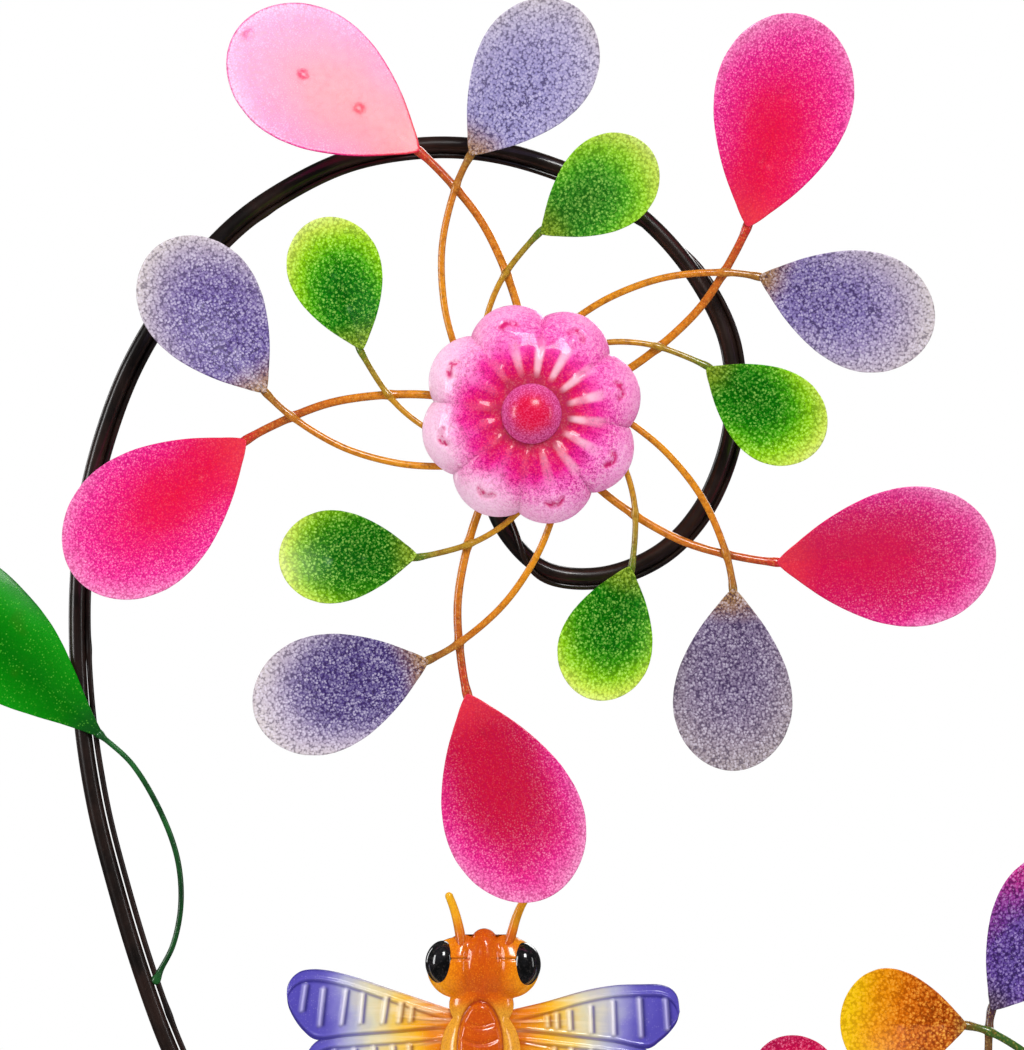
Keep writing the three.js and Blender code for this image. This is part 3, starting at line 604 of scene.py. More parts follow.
wires = {
    "magenta": wire_paint("copper_wire", [(0.0, (220, 142, 10)), (0.45, (212, 122, 14)), (0.8, (188, 90, 26)), (1.0, (196, 40, 36))]),
    "lavender": wire_paint("gold_wire", [(0.0, (206, 116, 12)), (0.4, (222, 140, 10)), (0.8, (204, 116, 20)), (1.0, (142, 98, 42))]),
    "green": wire_paint("olive_wire", [(0.0, (214, 146, 16)), (0.5, (202, 138, 20)), (0.85, (146, 124, 34)), (1.0, (84, 116, 24))]),
    "yellow": wire_paint("green_wire", [(0.0, (30, 74, 28)), (0.6, (34, 84, 30)), (0.9, (60, 96, 34)), (1.0, (120, 84, 20))]),
    "purple": wire_paint("brown_wire", [(0.0, (60, 66, 34)), (0.5, (74, 60, 34)), (0.85, (112, 78, 44)), (1.0, (70, 44, 60))]),
    "red": wire_paint("olive_dark_wire", [(0.0, (60, 74, 30)), (0.6, (96, 70, 34)), (1.0, (150, 40, 40))]),
}


def gloss_paint(name, deep, light, cloud_mm=40, speck=0.0, speck_colour=(255, 255, 255), rough=0.22, coat=0.5, peel=0.03):
    """Plain gloss enamel: slow colour drift, orange peel, dust-fine specks and slightly uneven gloss."""
    p = Paint(name)
    mm, grain = p.place()
    drift = p.smooth(p.noise(grain, 1 / cloud_mm, 3, 0.55), 0.3, 0.7)
    colour = p.mix(drift, deep, light)
    if speck:
        v = p.cells(grain, 1 / 1.6)
        tone = p.new("ShaderNodeSeparateColor")
        p.put(tone.inputs[0], v.outputs["Color"])
        spot = p.math("MULTIPLY", p.smooth(v.outputs["Distance"], 0.42, 0.1), p.smooth(tone.outputs[0], 0.5, 0.95))
        colour = p.mix(p.math("MULTIPLY", spot, speck), colour, speck_colour)
    normal = p.bump(p.noise(grain, 0.5, 2, 0.5), peel, 0.8)
    r = p.math("ADD", rough - 0.05, p.math("MULTIPLY", p.noise(grain, 0.12, 3, 0.6), 0.12))
    return p.finish(colour, r, 0.0, coat, 0.08, normal)


rod_black = gloss_paint("rod_enamel", (12, 8, 7), (42, 26, 21), 30, 0.05, (120, 96, 84), 0.3, 0.35, 0.02)
pole_black = gloss_paint("pole_enamel", (16, 10, 9), (40, 25, 20), 60, 0.08, (110, 96, 88), 0.34, 0.2, 0.04)
stem_green = gloss_paint("stem_enamel", (12, 52, 22), (34, 104, 44), 22, 0.15, (150, 200, 150), 0.26, 0.4, 0.03)
hub_copper = gloss_paint("hub_enamel", (150, 80, 22), (196, 118, 34), 12, 0.25, (240, 200, 120), 0.35, 0.3, 0.06)


def steel_paint(name, tone, rough, scale):
    p = Paint(name)
    mm, grain = p.place()
    turned = p.vec("MULTIPLY", grain, (1.0, 9.0, 1.0))
    lines = p.noise(turned, scale, 4, 0.65)
    colour = p.mix(p.smooth(lines, 0.3, 0.7), tone, tuple(min(255, int(c * 1.22)) for c in tone))
    stain = p.smooth(p.noise(grain, 0.12, 3, 0.6), 0.55, 0.8)
    colour = p.mix(p.math("MULTIPLY", stain, 0.35), colour, (96, 84, 70))
    r = p.math("ADD", rough, p.math("MULTIPLY", lines, 0.2))
    return p.finish(colour, r, 1.0, 0.0, 0.1, p.bump(lines, 0.02, 0.5))


bearing_steel = steel_paint("bearing_steel", (150, 152, 156), 0.18, 0.7)
bolt_steel = steel_paint("bolt_zinc", (158, 156, 148), 0.3, 0.4)

# ---- main wheel ---------------------------------------------------------------
FIVE = range(5)
dents = {
    "magenta": [[0.30, 0.62, 0.93], [0.33, 0.63, 0.94], [0.28, 0.6, 0.9], [0.2, 0.52, 0.86], [0.3, 0.6, 0.92]],
    "lavender": [[0.3, 0.62]] * 5,
    "green": [[0.34, 0.6]] * 5,
}


def swell(path, radius, places):
    """The wire's radius along its path, thicker where it is welded. places are (point, how much, reach in mm)."""
    r = np.full(len(path), radius, float)
    for point, more, reach in places:
        d = np.linalg.norm(path - np.asarray(point)[None], axis=1)
        r += more * np.exp(-((d / reach) ** 2))
    return r


def wheel(kinds, hub, body, drum, prefix, piece_of, dent_table, slots):
    # crossings: the points where one kind's wire passes another's, in the plane of the wheel
    for k in FIVE:
        turn = 72 * k
        for kind, blade in kinds.items():
            flat_one = kind == "magenta" and k == 1
            if flat_one:
                blade = dict(blade, dish=blade["dish"] * 0.35)
            pts, base, (u, left, n) = arm_path(blade, turn)
            lift = blade["wire"] + SHEET / 2 + 0.12
            shift = lift * math.tan(rad(PITCH)) + blade.get("side", 0.0)
            dd = []
            for i, t in enumerate(dent_table.get(kind, [[0.3, 0.62]] * 5)[k]):
                dd.append((t * blade["length"], -shift + (0.8 if i % 2 else -0.6), (0.4 if flat_one else 0.75) if kind == "magenta" else 0.35, 1.7 if flat_one else 2.3))
            v, f = sheet_petal(blade["length"], blade["half"] / math.cos(rad(PITCH)), blade["dish"], lift, shift, dents=dd)
            m = placed(hub + base, u, left, n)
            name, node = piece_of(kind, k, "petal")
            build(name, v, f, paints[kind], body, node, slots(kind, "petal"), m, sharp=50, index=k + 1)
            path = evenly(centripetal(pts), 1.6)
            others = []
            for other, b2 in kinds.items():
                if other == kind:
                    continue
                for j in FIVE:
                    q = evenly(centripetal(arm_path(b2, 72 * j)[0][: len(b2["path"]) + 1]), 1.0)
                    mine = path[np.linalg.norm(path[:, [0, 2]], axis=1) > drum + 8]
                    d = np.linalg.norm(mine[:, None, [0, 2]] - q[None, :, [0, 2]], axis=2)
                    a, b = np.unravel_index(np.argmin(d), d.shape)
                    if d[a, b] < 1.2 and np.linalg.norm(mine[a] - base) > 4:
                        others.append((mine[a] * [1, 1, 1], 0.55, 2.6))
            others.append((base - u * 1.5, 0.5, 4.0))
            d0 = path[np.argmin(np.abs(np.linalg.norm(path[:, [0, 2]], axis=1) - drum))]
            others.append((d0, 1.0, 2.4))
            v, f, along = tube(path, swell(path, blade["wire"], others), 14, 0.5)
            s_tip = lengths(path)[np.argmin(np.linalg.norm(path - base, axis=1))]
            name, node = piece_of(kind, k, "arm")
            build(name, v, f, wires[kind], body, node, slots(kind, "arm"), placed(hub, (1, 0, 0), (0, 1, 0), (0, 0, 1)),
                  index=k + 1, attrs={"along": along / s_tip})


wheel(MAIN, H1, "main_spinner", 31.0, "main",
      lambda kind, k, what: (f"{kind}_{what}_{k + 1}_finished", f"{kind}_{what}_{k + 1}"),
      dents, lambda kind, what: f"{kind}_{what}")
wheel(SECOND, H2, "second_spinner", 28.0, "second",
      lambda kind, k, what: (f"second_{kind}_{what}_{k + 1}", f"second_petal_cluster_{k + 1}"),
      {"yellow": [[0.15, 0.5]] * 5, "purple": [[0.3, 0.62]] * 5, "red": [[0.3, 0.6]] * 5}, lambda kind, what: "second_petals")


# ---- hubs, bearings, axles -------------------------------------------------------
def at_hub(hub):
    return placed(hub, (1, 0, 0), (0, 1, 0), (0, 0, 1))


def turned_piece(name, profile, mat, body, node, slot, hub, segments=72, ease=0.5, index=1):
    v, f = lathe(profile, segments, ease)
    return build(name, v, f, mat, body, node, slot, at_hub(hub), sharp=40, index=index)


turned_piece("main_hub_turned", [
    [11.3, 13], [11.3, -12.6], [12.6, -12.6], [12.6, -24.7], [17, -24.7], [17, -8], [31, -8], [31, 8], [17, 8], [17, 13]],
    hub_copper, "main_spinner", "main_hub", "hub_paint", H1, 96, 1.2)
turned_piece("second_hub_turned", [
    [5.3, 12.5], [5.3, -12.5], [15, -12.5], [15, -8], [28, -8], [28, 8], [15, 8], [15, 12.5]],
    hub_copper, "second_spinner", "second_hub", "hub_paint", H2, 96, 1.2)


def bearing_profile(y0, y1):
    # outer and inner race with a recessed shield between them
    d = 0.7
    return [[5.3, y0], [5.3, y1], [7.2, y1], [7.4, y1 - d], [9.2, y1 - d], [9.4, y1], [11, y1], [11, y0], [9.4, y0], [9.2, y0 + d], [7.4, y0 + d], [7.2, y0]]


turned_piece("main_bearing_rear_race", bearing_profile(4.5, 12.5), bearing_steel, "main_spinner", "main_bearing_rear", "bearing_steel", H1, 72, 0.25)
turned_piece("main_bearing_front_race", bearing_profile(-12.3, -4.3), bearing_steel, "main_spinner", "main_bearing_front", "bearing_steel", H1, 72, 0.25)
turned_piece("main_axle_boss_turned", [[5.3, 22], [5.3, 44], [10, 44], [10, 22]], rod_black, "stake", "main_axle_boss", "rod_black", H1, 64, 0.8)
turned_piece("main_axle_spacer_turned", [[5.3, 12.85], [5.3, 21.65], [8, 21.65], [8, 12.85]], bolt_steel, "stake", "main_axle_spacer", "bolt_zinc", H1, 64, 0.3)
turned_piece("second_axle_turned", [[0, -18], [5, -18], [5, 13.2], [9.5, 13.2], [9.5, 44], [0, 44]], rod_black, "stake", "second_axle", "rod_black", H2, 64, 0.9)


def hexagon(y0, y1, across, bore=0.0, chamfer=0.8):
    """A hexagon head or nut with turned chamfers, as stacked six-sided rings."""
    corner = across / math.sqrt(3)
    verts, faces = [], []
    seg = 48

    def hexr(a):
        b = (a + math.pi / 6) % (math.pi / 3) - math.pi / 6
        return across / 2 / math.cos(b)

    rows = []
    for y, cap in ((y0, across / 2 * 0.96), (y0 + chamfer * 0.6, corner), (y1 - chamfer * 0.6, corner), (y1, across / 2 * 0.96)):
        start = len(verts)
        for j in range(seg):
            a = 2 * math.pi * j / seg
            r = min(hexr(a), cap)
            verts.append((r * math.cos(a), y, r * math.sin(a)))
        rows.append(start)
    if bore:
        for y, r in ((y1, bore + 0.4), (y1 - 0.4, bore), (y0 + 0.4, bore), (y0, bore + 0.4)):
            start = len(verts)
            for j in range(seg):
                a = 2 * math.pi * j / seg
                verts.append((r * math.cos(a), y, r * math.sin(a)))
            rows.append(start)
        rows.append(rows[0])
    for a, b in zip(rows[:-1], rows[1:]):
        for j in range(seg):
            k = (j + 1) % seg
            faces.append((a + j, a + k, b + k, b + j))
    if not bore:
        for row, y, flip in ((rows[0], y0, False), (rows[-1], y1, True)):
            c = len(verts)
            verts.append((0, y, 0))
            for j in range(seg):
                k = (j + 1) % seg
                faces.append((c, row + k, row + j) if not flip else (c, row + j, row + k))
    v = np.array(verts)
    vol = sum(np.dot(v[f[0]], np.cross(v[f[q]], v[f[q + 1]])) for f in faces for q in range(1, len(f) - 1))
    return v, ([tuple(reversed(f)) for f in faces] if vol < 0 else faces)


v, f = hexagon(-17.6, -12.65, 15, 5.3)
build("main_axle_nut_hex", v, f, bolt_steel, "stake", "main_axle_nut", "bolt_zinc", at_hub(H1), sharp=28)
v, f = hexagon(44.4, 50.4, 17)
v2, f2 = lathe([[0, -18.4], [4.4, -18.4], [5, -17.6], [5, 44.4], [0, 44.4]], 64, 0.2)
build("main_axle_bolt_turned", np.vstack([v, v2]), list(f) + [tuple(i + len(v) for i in q) for q in f2], bolt_steel, "stake",
      "main_axle_bolt", "bolt_zinc", at_hub(H1), sharp=28)


# ---- flower caps ---------------------------------------------------------------
def cap_mesh(size, hole, lobes=8, phase=15.0, around=480, thick=1.1):
    """Pressed flower: soft ridges round the middle, puffed lobes, a small crescent dent near each lobe's end."""
    R = 62.8
    radii = np.concatenate([np.linspace(hole / size, 20, 7), np.linspace(21, 61.8, 52)])
    base_r = [0, 17, 20, 24, 30, 38, 46, 52, 57, 60.5, 62.8]
    base_y = [-26.4, -26.4, -26.2, -26.9, -27.3, -26.0, -23.6, -20.6, -16.6, -12.6, -8.8]
    verts_f, verts_b = [], []
    ang = 2 * math.pi * np.arange(around) / around
    for r in radii:
        w = np.clip((r - 20) / 41.8, 0, 1)
        phi = ang - rad(phase)
        c = np.abs(np.cos(lobes / 2 * phi))
        edge = 1 - 0.115 * (1 - c**0.8)
        blend = w**1.6
        rr = r * ((1 - blend) + blend * edge)
        y = np.interp(np.full(around, r), base_r, base_y)
        ro = r / R
        # lobes puffed forward between the notches
        y = y - 3.2 * (c**0.45 - 0.75) * np.clip((ro - 0.5) / 0.38, 0, 1) ** 1.1
        # sixteen soft ridges, long ones running out along the lobes, short steep ends near the button
        k = 0.5 + 0.5 * np.cos(2 * lobes * phi)
        band = np.clip((r - 18.5) / 4.0, 0, 1) * np.exp(-(max(r - 25, 0) / 11.5) ** 2)
        y = y - 1.0 * (k**1.1 - 0.45) * band
        local = (phi + math.pi / lobes) % (2 * math.pi / lobes) - math.pi / lobes
        sx = rr * np.sin(local)
        sz = rr * np.cos(local)
        d = np.hypot(sx, (sz - 48.0))
        y = y - 0.9 * np.exp(-((d / 3.0) ** 2))
        cres = np.exp(-(((d - 4.9) / 1.15) ** 2)) * (1 / (1 + np.exp(-(sz - 49.6) / 0.7)))
        y = y + 1.4 * cres
        x, z = rr * np.cos(ang) * size, rr * np.sin(ang) * size
        verts_f.append(np.stack([x, y, z], 1))
    rim = verts_f[-1]
    lip = rim.copy()
    lip[:, 1] += thick / 2
    lip[:, [0, 2]] *= 1 + 0.35 / 61
    for row in verts_f[::-1]:
        b = row.copy()
        b[:, 1] += thick
        verts_b.append(b)
    allrows = verts_f + [lip] + verts_b
    verts = np.vstack(allrows)
    faces = []
    m = len(allrows)
    for i in range(m):
        a, b = i * around, ((i + 1) % m) * around
        for j in range(around):
            k2 = (j + 1) % around
            faces.append((a + j, a + k2, b + k2, b + j))
    F = np.array(faces)
    A, B, C, D = (verts[F[:, i]] for i in range(4))
    if (A * np.cross(B, C)).sum() + (A * np.cross(C, D)).sum() < 0:
        faces = [tuple(reversed(q)) for q in faces]
    return verts, faces


def cap_paint(name, stops, dark, pale, dent, phase=15.0, lobes=8, size=1.0, white=(253, 232, 242), fuller=(234, 54, 158)):
    p = Paint(name)
    mm, grain = p.place()
    xyz = p.new("ShaderNodeSeparateXYZ")
    p.put(xyz.inputs[0], mm)
    x, z = p.math("DIVIDE", xyz.outputs[0], size), p.math("DIVIDE", xyz.outputs[2], size)
    r = p.math("SQRT", p.math("ADD", p.math("MULTIPLY", x, x), p.math("MULTIPLY", z, z)))
    phi = p.math("SUBTRACT", p.math("ARCTAN2", z, x), rad(phase))
    lobe = p.math("COSINE", p.math("MULTIPLY", phi, float(lobes)))  # 1 on a lobe's middle, -1 in a notch
    ridge = p.math("COSINE", p.math("MULTIPLY", phi, float(2 * lobes)))
    cloud = p.noise(grain, 0.06, 3, 0.6)
    rr = p.math("ADD", r, p.math("MULTIPLY", p.math("SUBTRACT", cloud, 0.5), 20.0))
    rr = p.math("ADD", rr, p.math("MULTIPLY", lobe, 2.0))
    base = p.ramp(p.math("DIVIDE", rr, 64.0), stops)
    # painted highlight along the ridges, strongest on the right where the light falls; darker magenta in the grooves
    # between them
    band = p.math("MULTIPLY", p.smooth(r, 19.0, 25.0), p.smooth(r, 47.0, 33.0))
    patchy = p.smooth(p.noise(grain, 0.09, 2, 0.5), 0.35, 0.62)
    ridge_light_side = p.smooth(p.math("COSINE", p.math("ADD", phi, rad(phase - 20))), -0.5, 0.6, 0.12, 1.3)
    light = p.math("MULTIPLY", p.math("MULTIPLY", p.math("MULTIPLY", p.smooth(ridge, -0.1, 1.0), band), p.math("ADD", 0.45, p.math("MULTIPLY", patchy, 0.55))), ridge_light_side)
    groove = p.math("MULTIPLY", p.smooth(ridge, -0.5, -1.0), band)
    base = p.mix(p.math("MULTIPLY", groove, 0.3), base, dent)
    # spatter: heavy where the dark ring meets the pale lobes, fine on the lobes
    v1 = p.cells(grain, 1 / 0.95)
    tone = p.new("ShaderNodeSeparateColor")
    p.put(tone.inputs[0], v1.outputs["Color"])
    fine = p.noise(grain, 1.05, 2, 0.65)
    coarse = p.noise(grain, 0.5, 2, 0.6)
    mixed = p.math("ADD", p.math("MULTIPLY", fine, 0.6), p.math("MULTIPLY", coarse, 0.4))
    mixed = p.math("ADD", mixed, p.math("MULTIPLY", p.math("SUBTRACT", tone.outputs[0], 0.5), 0.05))
    mottle = p.math("MULTIPLY", p.smooth(rr, 20.0, 33.0), p.smooth(rr, 60.0, 38.0))
    spot = p.math("MULTIPLY", p.smooth(mixed, 0.485, 0.42), p.math("ADD", 0.36, p.math("MULTIPLY", mottle, 0.5)))
    colour = p.mix(spot, base, dark)
    # painted highlight: the lobes on the left, where the light falls, are washed pale towards white
    toward = p.math("COSINE", p.math("ADD", phi, rad(phase - 195)))
    left_light_wash = p.math("MULTIPLY", p.smooth(toward, -0.3, 1.0), p.smooth(rr, 34.0, 56.0))
    pale_spot = p.math("MULTIPLY", p.smooth(mixed, 0.51, 0.6), p.math("ADD", 0.08, p.math("MULTIPLY", p.smooth(r, 36.0, 50.0), 0.42)))
    colour = p.mix(pale_spot, colour, pale)
    colour = p.mix(p.math("MULTIPLY", left_light_wash, 0.5), colour, white)
    # a deeper magenta over the upper right of the ring
    across = p.math("COSINE", p.math("ADD", phi, rad(phase - 60)))
    rich = p.math("MULTIPLY", p.smooth(across, -0.2, 0.9), p.smooth(r, 26.0, 38.0))
    colour = p.mix(p.math("MULTIPLY", rich, 0.32), colour, fuller)
    # the ridges' painted highlight, mixed in towards pale
    colour = p.mix(p.math("MULTIPLY", light, 0.5), colour, pale)
    # colour gathers in the crescents
    step = 2 * math.pi / lobes
    local = p.math("SUBTRACT", p.math("MODULO", p.math("ADD", phi, math.pi / lobes + 4 * math.pi), step), math.pi / lobes)
    sx = p.math("MULTIPLY", r, p.math("SINE", local))
    sz = p.math("MULTIPLY", r, p.math("COSINE", local))
    dz = p.math("SUBTRACT", sz, 48.0)
    d = p.math("SQRT", p.math("ADD", p.math("MULTIPLY", sx, sx), p.math("MULTIPLY", dz, dz)))
    ring = p.math("MULTIPLY", p.smooth(p.math("ABSOLUTE", p.math("SUBTRACT", d, 4.2)), 3.0, 0.5), p.smooth(sz, 47.0, 50.5))
    blot = p.math("ADD", 0.25, p.math("MULTIPLY", p.smooth(p.noise(grain, 0.22, 2, 0.6), 0.42, 0.56), 0.75))
    colour = p.mix(p.math("MULTIPLY", p.math("MULTIPLY", ring, blot), 0.95), colour, dent)
    normal = p.bump(p.noise(grain, 0.8, 2, 0.5), 0.03, 0.6)
    rough = p.math("ADD", 0.24, p.math("MULTIPLY", p.noise(grain, 0.2, 2, 0.5), 0.14))
    return p.finish(colour, rough, 0.0, 0.4, 0.06, normal, 0.2)


pink_cap = cap_paint(
    "pink_cap_enamel",
    # the first two stops, a dull greyish red just round the button, are painted shade in the hollow round the button
    [(0.0, (176, 40, 68)), (0.29, (186, 36, 72)), (0.37, (214, 10, 78)), (0.48, (222, 2, 108)), (0.57, (232, 30, 150)), (0.68, (242, 92, 186)), (0.82, (246, 138, 206)), (1.0, (248, 172, 222))],
    (176, 0, 104), (252, 216, 230), (206, 0, 104))
v, f = cap_mesh(1.0, 12.5)
build("main_flower_cap_pressed", v, f, pink_cap, "main_spinner", "main_flower_cap", "cap_pink", at_hub(H1), index=3)

violet_cap = cap_paint(
    "violet_cap_enamel",
    [(0.0, (96, 30, 120)), (0.35, (110, 34, 140)), (0.5, (130, 44, 170)), (0.7, (160, 90, 200)), (0.85, (190, 140, 220)), (1.0, (206, 170, 230))],
    (84, 24, 130), (236, 220, 250), (104, 24, 140), size=54 / 61, fuller=(140, 62, 186))
v, f = cap_mesh(54 / 61, 11.5, around=384)
stem_v, stem_f = lathe([[0, -34.5], [5, -34.0], [9.5, -32.2], [12.6, -29.2], [14.2, -26.6], [10, -25.4], [10, -12.85], [5.4, -12.85], [5.4, -21], [0, -21]], 72, 0.8)
build("second_flower_cap_pressed", v, f, violet_cap, "second_spinner", "second_flower_cap", "cap_violet", at_hub(H2), index=4)


def button_paint(name, middle, rim, speck):
    p = Paint(name)
    mm, grain = p.place()
    xyz = p.new("ShaderNodeSeparateXYZ")
    p.put(xyz.inputs[0], mm)
    r = p.math("SQRT", p.math("ADD", p.math("MULTIPLY", xyz.outputs[0], xyz.outputs[0]), p.math("MULTIPLY", xyz.outputs[2], xyz.outputs[2])))
    r = p.math("ADD", r, p.math("MULTIPLY", p.math("SUBTRACT", p.noise(grain, 0.15, 3, 0.6), 0.5), 5.0))
    base = p.mix(p.smooth(r, 7.0, 16.5), middle, rim)
    v1 = p.cells(grain, 1 / 1.1)
    tone = p.new("ShaderNodeSeparateColor")
    p.put(tone.inputs[0], v1.outputs["Color"])
    fine = p.noise(grain, 1.0, 2, 0.65)
    rimward = p.smooth(r, 5.0, 16.0)
    colour = p.mix(p.math("MULTIPLY", p.smooth(fine, 0.50, 0.60), p.math("ADD", 0.15, p.math("MULTIPLY", rimward, 0.45))), base, speck)
    colour = p.mix(p.math("MULTIPLY", p.smooth(fine, 0.47, 0.38), p.math("ADD", 0.2, p.math("MULTIPLY", rimward, 0.3))), colour, (150, 0, 60))
    return p.finish(colour, 0.24, 0.0, 0.2, 0.06, p.bump(p.noise(grain, 0.7, 2, 0.5), 0.03, 0.6), 0.35)


turned_piece("main_cap_button_domed", [
    [0, -38], [3, -37.85], [6, -37.3], [9, -36.2], [12, -34.3], [14.4, -31.8], [16.2, -28.8], [17, -26.6], [12.1, -26.6], [12.1, -19.2], [0, -19.2]],
    button_paint("button_enamel", (214, 8, 62), (206, 70, 140), (236, 120, 190)), "main_spinner", "main_cap_button", "cap_button", H1, 96, 1.6, 5)
build("second_cap_button_domed", stem_v, stem_f, button_paint("second_button_enamel", (220, 170, 20), (190, 110, 30), (250, 220, 120)),
      "second_spinner", "second_flower_cap", "cap_violet", at_hub(H2), sharp=40, index=6)

# ---- rods -----------------------------------------------------------------------
SCROLL = [
    [-11.5, 786.6], [-11.5, 837.6], [-11.6, 883.0], [-14.1, 928.4], [-22.7, 971.0], [-39.7, 1014.6], [-65.2, 1057.8],
    [-97.5, 1104.3], [-129.3, 1152.5], [-155.4, 1197.9], [-176.5, 1242.1], [-192.3, 1285.3], [-206.2, 1331.2],
    [-217.8, 1376.6], [-225.1, 1422.0], [-228.3, 1467.4], [-228.1, 1504.2], [-224.6, 1544.0], [-214.7, 1586.5],
    [-198.0, 1630.2], [-172.4, 1671.6], [-140.8, 1707.5], [-111.0, 1728.9], [-75.3, 1745.9], [-35.7, 1753.4],
    [0.0, 1752.7], [35.0, 1744.6], [68.9, 1730.0], [101.3, 1704.7], [124.8, 1675.0], [139.7, 1643.9], [143.6, 1612.0],
    [139.8, 1581.5], [124.8, 1546.8], [101.7, 1522.7], [68.1, 1509.8], [36.9, 1513.3], [15.6, 1533.0], [5.7, 1557.0],
    [6.8, 1578.0], [15.9, 1592.2], [29.0, 1600.0],
]
BRANCH = [
    [11.5, 758.2], [11.5, 820.6], [11.9, 871.7], [17.1, 914.2], [36.9, 953.9], [76.6, 985.1], [130.5, 1003.9],
    [190.1, 1016.4], [244.0, 1031.7], [286.5, 1056.1], [313.2, 1087.3], [327.1, 1123.7],
]
STEM = [[-181.0, 1286.2], [-174.1, 1300.0], [-169.6, 1322.7], [-171.3, 1348.2], [-180.9, 1375.5], [-197.4, 1403.3], [-213.6, 1418.2]]


def flat(path):
    return np.array([[x, 0.0, z] for x, z in path])


def until(path, hub, radius):
    """The path's points outside a boss's radius about an axis along Y."""
    d = np.hypot(path[:, 0] - hub[0], path[:, 2] - hub[2])
    keep = len(path)
    while keep > 2 and d[keep - 1] < radius:
        keep -= 1
    return path[:keep]


scroll = evenly(centripetal(flat(SCROLL)), 2.5)
part = until(scroll, H1, 9.0)
v, f, along = tube(part, 4.75, 28, 0.25)
build("scroll_rod_bent", v, f, rod_black, "stake", "scroll_rod", "rod_black", index=1)

curve = evenly(centripetal(flat(SCROLL)), 1.0)
cs = lengths(curve) / lengths(curve)[-1]
turns = [(0, 0), (0.735, 0), (0.8, 180), (0.925, 180), (0.962, 360), (1.001, 360)]


def psi(s):
    for (s0, a0), (s1, a1) in zip(turns[:-1], turns[1:]):
        if s <= s1:
            w = (s - s0) / (s1 - s0)
            return rad(a0 + (a1 - a0) * w * w * (3 - 2 * w))
    return rad(360)


tang = np.gradient(curve, axis=0)
tang /= np.linalg.norm(tang, axis=1)[:, None]
vine = []
for p0, t0, s0 in zip(curve, tang, cs):
    if s0 > 0.985:
        continue
    inner = np.array([t0[2], 0, -t0[0]])
    a = psi(s0)
    near = 7.0 - 0.84 * min(max((s0 - 0.40) / 0.06, 0), 1)
    q = p0 + inner * near * math.cos(a) + np.array([0, near * math.sin(a), 0])
    if abs(q[0]) > 6.35 + 1.6 + 0.6 or q[2] > 1236:
        vine.append(q)
vine = until(evenly(np.array(vine), 2.2), H1, 10.5)
weld_at = [vine[np.argmin(np.linalg.norm(vine - np.array(w)[None], axis=1))] for w in
           ([-177, 0, 1260], [-221, 0, 1468], [-120, 0, 1712], [60, 0, 1729])]
v, f, along = tube(vine, swell(vine, 1.6, [(w, 0.35, 5.0) for w in weld_at]), 16, 0.6)
build("vine_rod_bent", v, f, rod_black, "stake", "vine_rod", "rod_black", index=2)

branch = until(evenly(centripetal(flat(BRANCH)), 2.5), H2, 8.5)
v, f, along = tube(branch, 4.75, 28, 0.25)
build("branch_rod_bent", v, f, rod_black, "stake", "branch_rod", "rod_black", index=3)

stem_pts = np.array([[x, -3.6 * i / (len(STEM) - 1), z] for i, (x, z) in enumerate(STEM)])
stem_pts = np.vstack([[[-184.2, 0.0, 1279.5]], stem_pts, [[-215.6, -4.6, 1420.2]]])
stem = evenly(centripetal(stem_pts), 1.5)
v, f, along = tube(stem, swell(stem, 1.6, [(stem[0], 1.3, 5.0), (stem[-1], 1.1, 3.0)]), 16, 0.6)
build("leaf_stem_bent", v, f, stem_green, "stake", "leaf_stem", "stem_green", index=4)


# ---- leaf -----------------------------------------------------------------------
def leaf_paint():
    p = Paint("leaf_enamel")
    mm, grain = p.place()
    xyz = p.new("ShaderNodeSeparateXYZ")
    p.put(xyz.inputs[0], mm)
    t = p.math("DIVIDE", xyz.outputs[0], 160.0)
    q = p.math("DIVIDE", xyz.outputs[1], 32.5)
    cloud = p.noise(grain, 0.03, 3, 0.6)
    g = p.math("ADD", p.math("ABSOLUTE", q), p.math("MULTIPLY", p.math("SUBTRACT", cloud, 0.5), 0.5))
    base = p.ramp(g, [(0.0, (0, 104, 2)), (0.4, (2, 122, 2)), (0.75, (8, 140, 8)), (0.93, (10, 128, 14)), (1.02, (0, 84, 24))])
    base = p.mix(p.smooth(t, 0.16, 0.0), base, (16, 70, 24))
    warm = p.math("MULTIPLY", p.smooth(p.noise(grain, 0.05, 2, 0.5), 0.55, 0.75), 0.35)
    base = p.mix(warm, base, (48, 92, 4))
    v1 = p.cells(grain, 1 / 1.35)
    tone = p.new("ShaderNodeSeparateColor")
    p.put(tone.inputs[0], v1.outputs["Color"])
    spot = p.math("MULTIPLY", p.smooth(v1.outputs["Distance"], 0.45, 0.1), p.smooth(tone.outputs[0], 0.4, 1.0))
    colour = p.mix(p.math("MULTIPLY", spot, 0.42), base, (120, 216, 70))
    normal = p.bump(p.math("ADD", spot, p.noise(grain, 0.6, 2, 0.5)), 0.05, 0.6)
    return p.finish(colour, 0.28, 0.0, 0.15, 0.1, normal, 0.12)


leaf_u, leaf_left, leaf_n = axes(138, 0)
v, f = sheet_petal(160, 32.5, -6, 0.0, outline=LEAF_OUTLINE, dents=[(6, 0, 0.6, 2.2)], per_side=70, rings=40)
build("leaf_pressed", v, f, leaf_paint(), "stake", "leaf", "leaf_green", placed((-214.4, -5.7, 1419.2), leaf_u, leaf_left, leaf_n), sharp=50, index=2)

# ---- pole, sleeve, fork ----------------------------------------------------------
pole_lo, pole_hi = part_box("upper_pole")
low_lo, low_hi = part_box("lower_pole")
slv_lo, slv_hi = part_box("pole_sleeve")
fork_lo, fork_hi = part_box("ground_fork")


def stood(name, profile, mat, node, slot, x=0.0, segments=64, ease=0.8, index=1):
    v, f = lathe(profile, segments, ease)
    return build(name, upright(v) + [x, 0, 0], f, mat, "stake", node, slot, sharp=40, index=index)


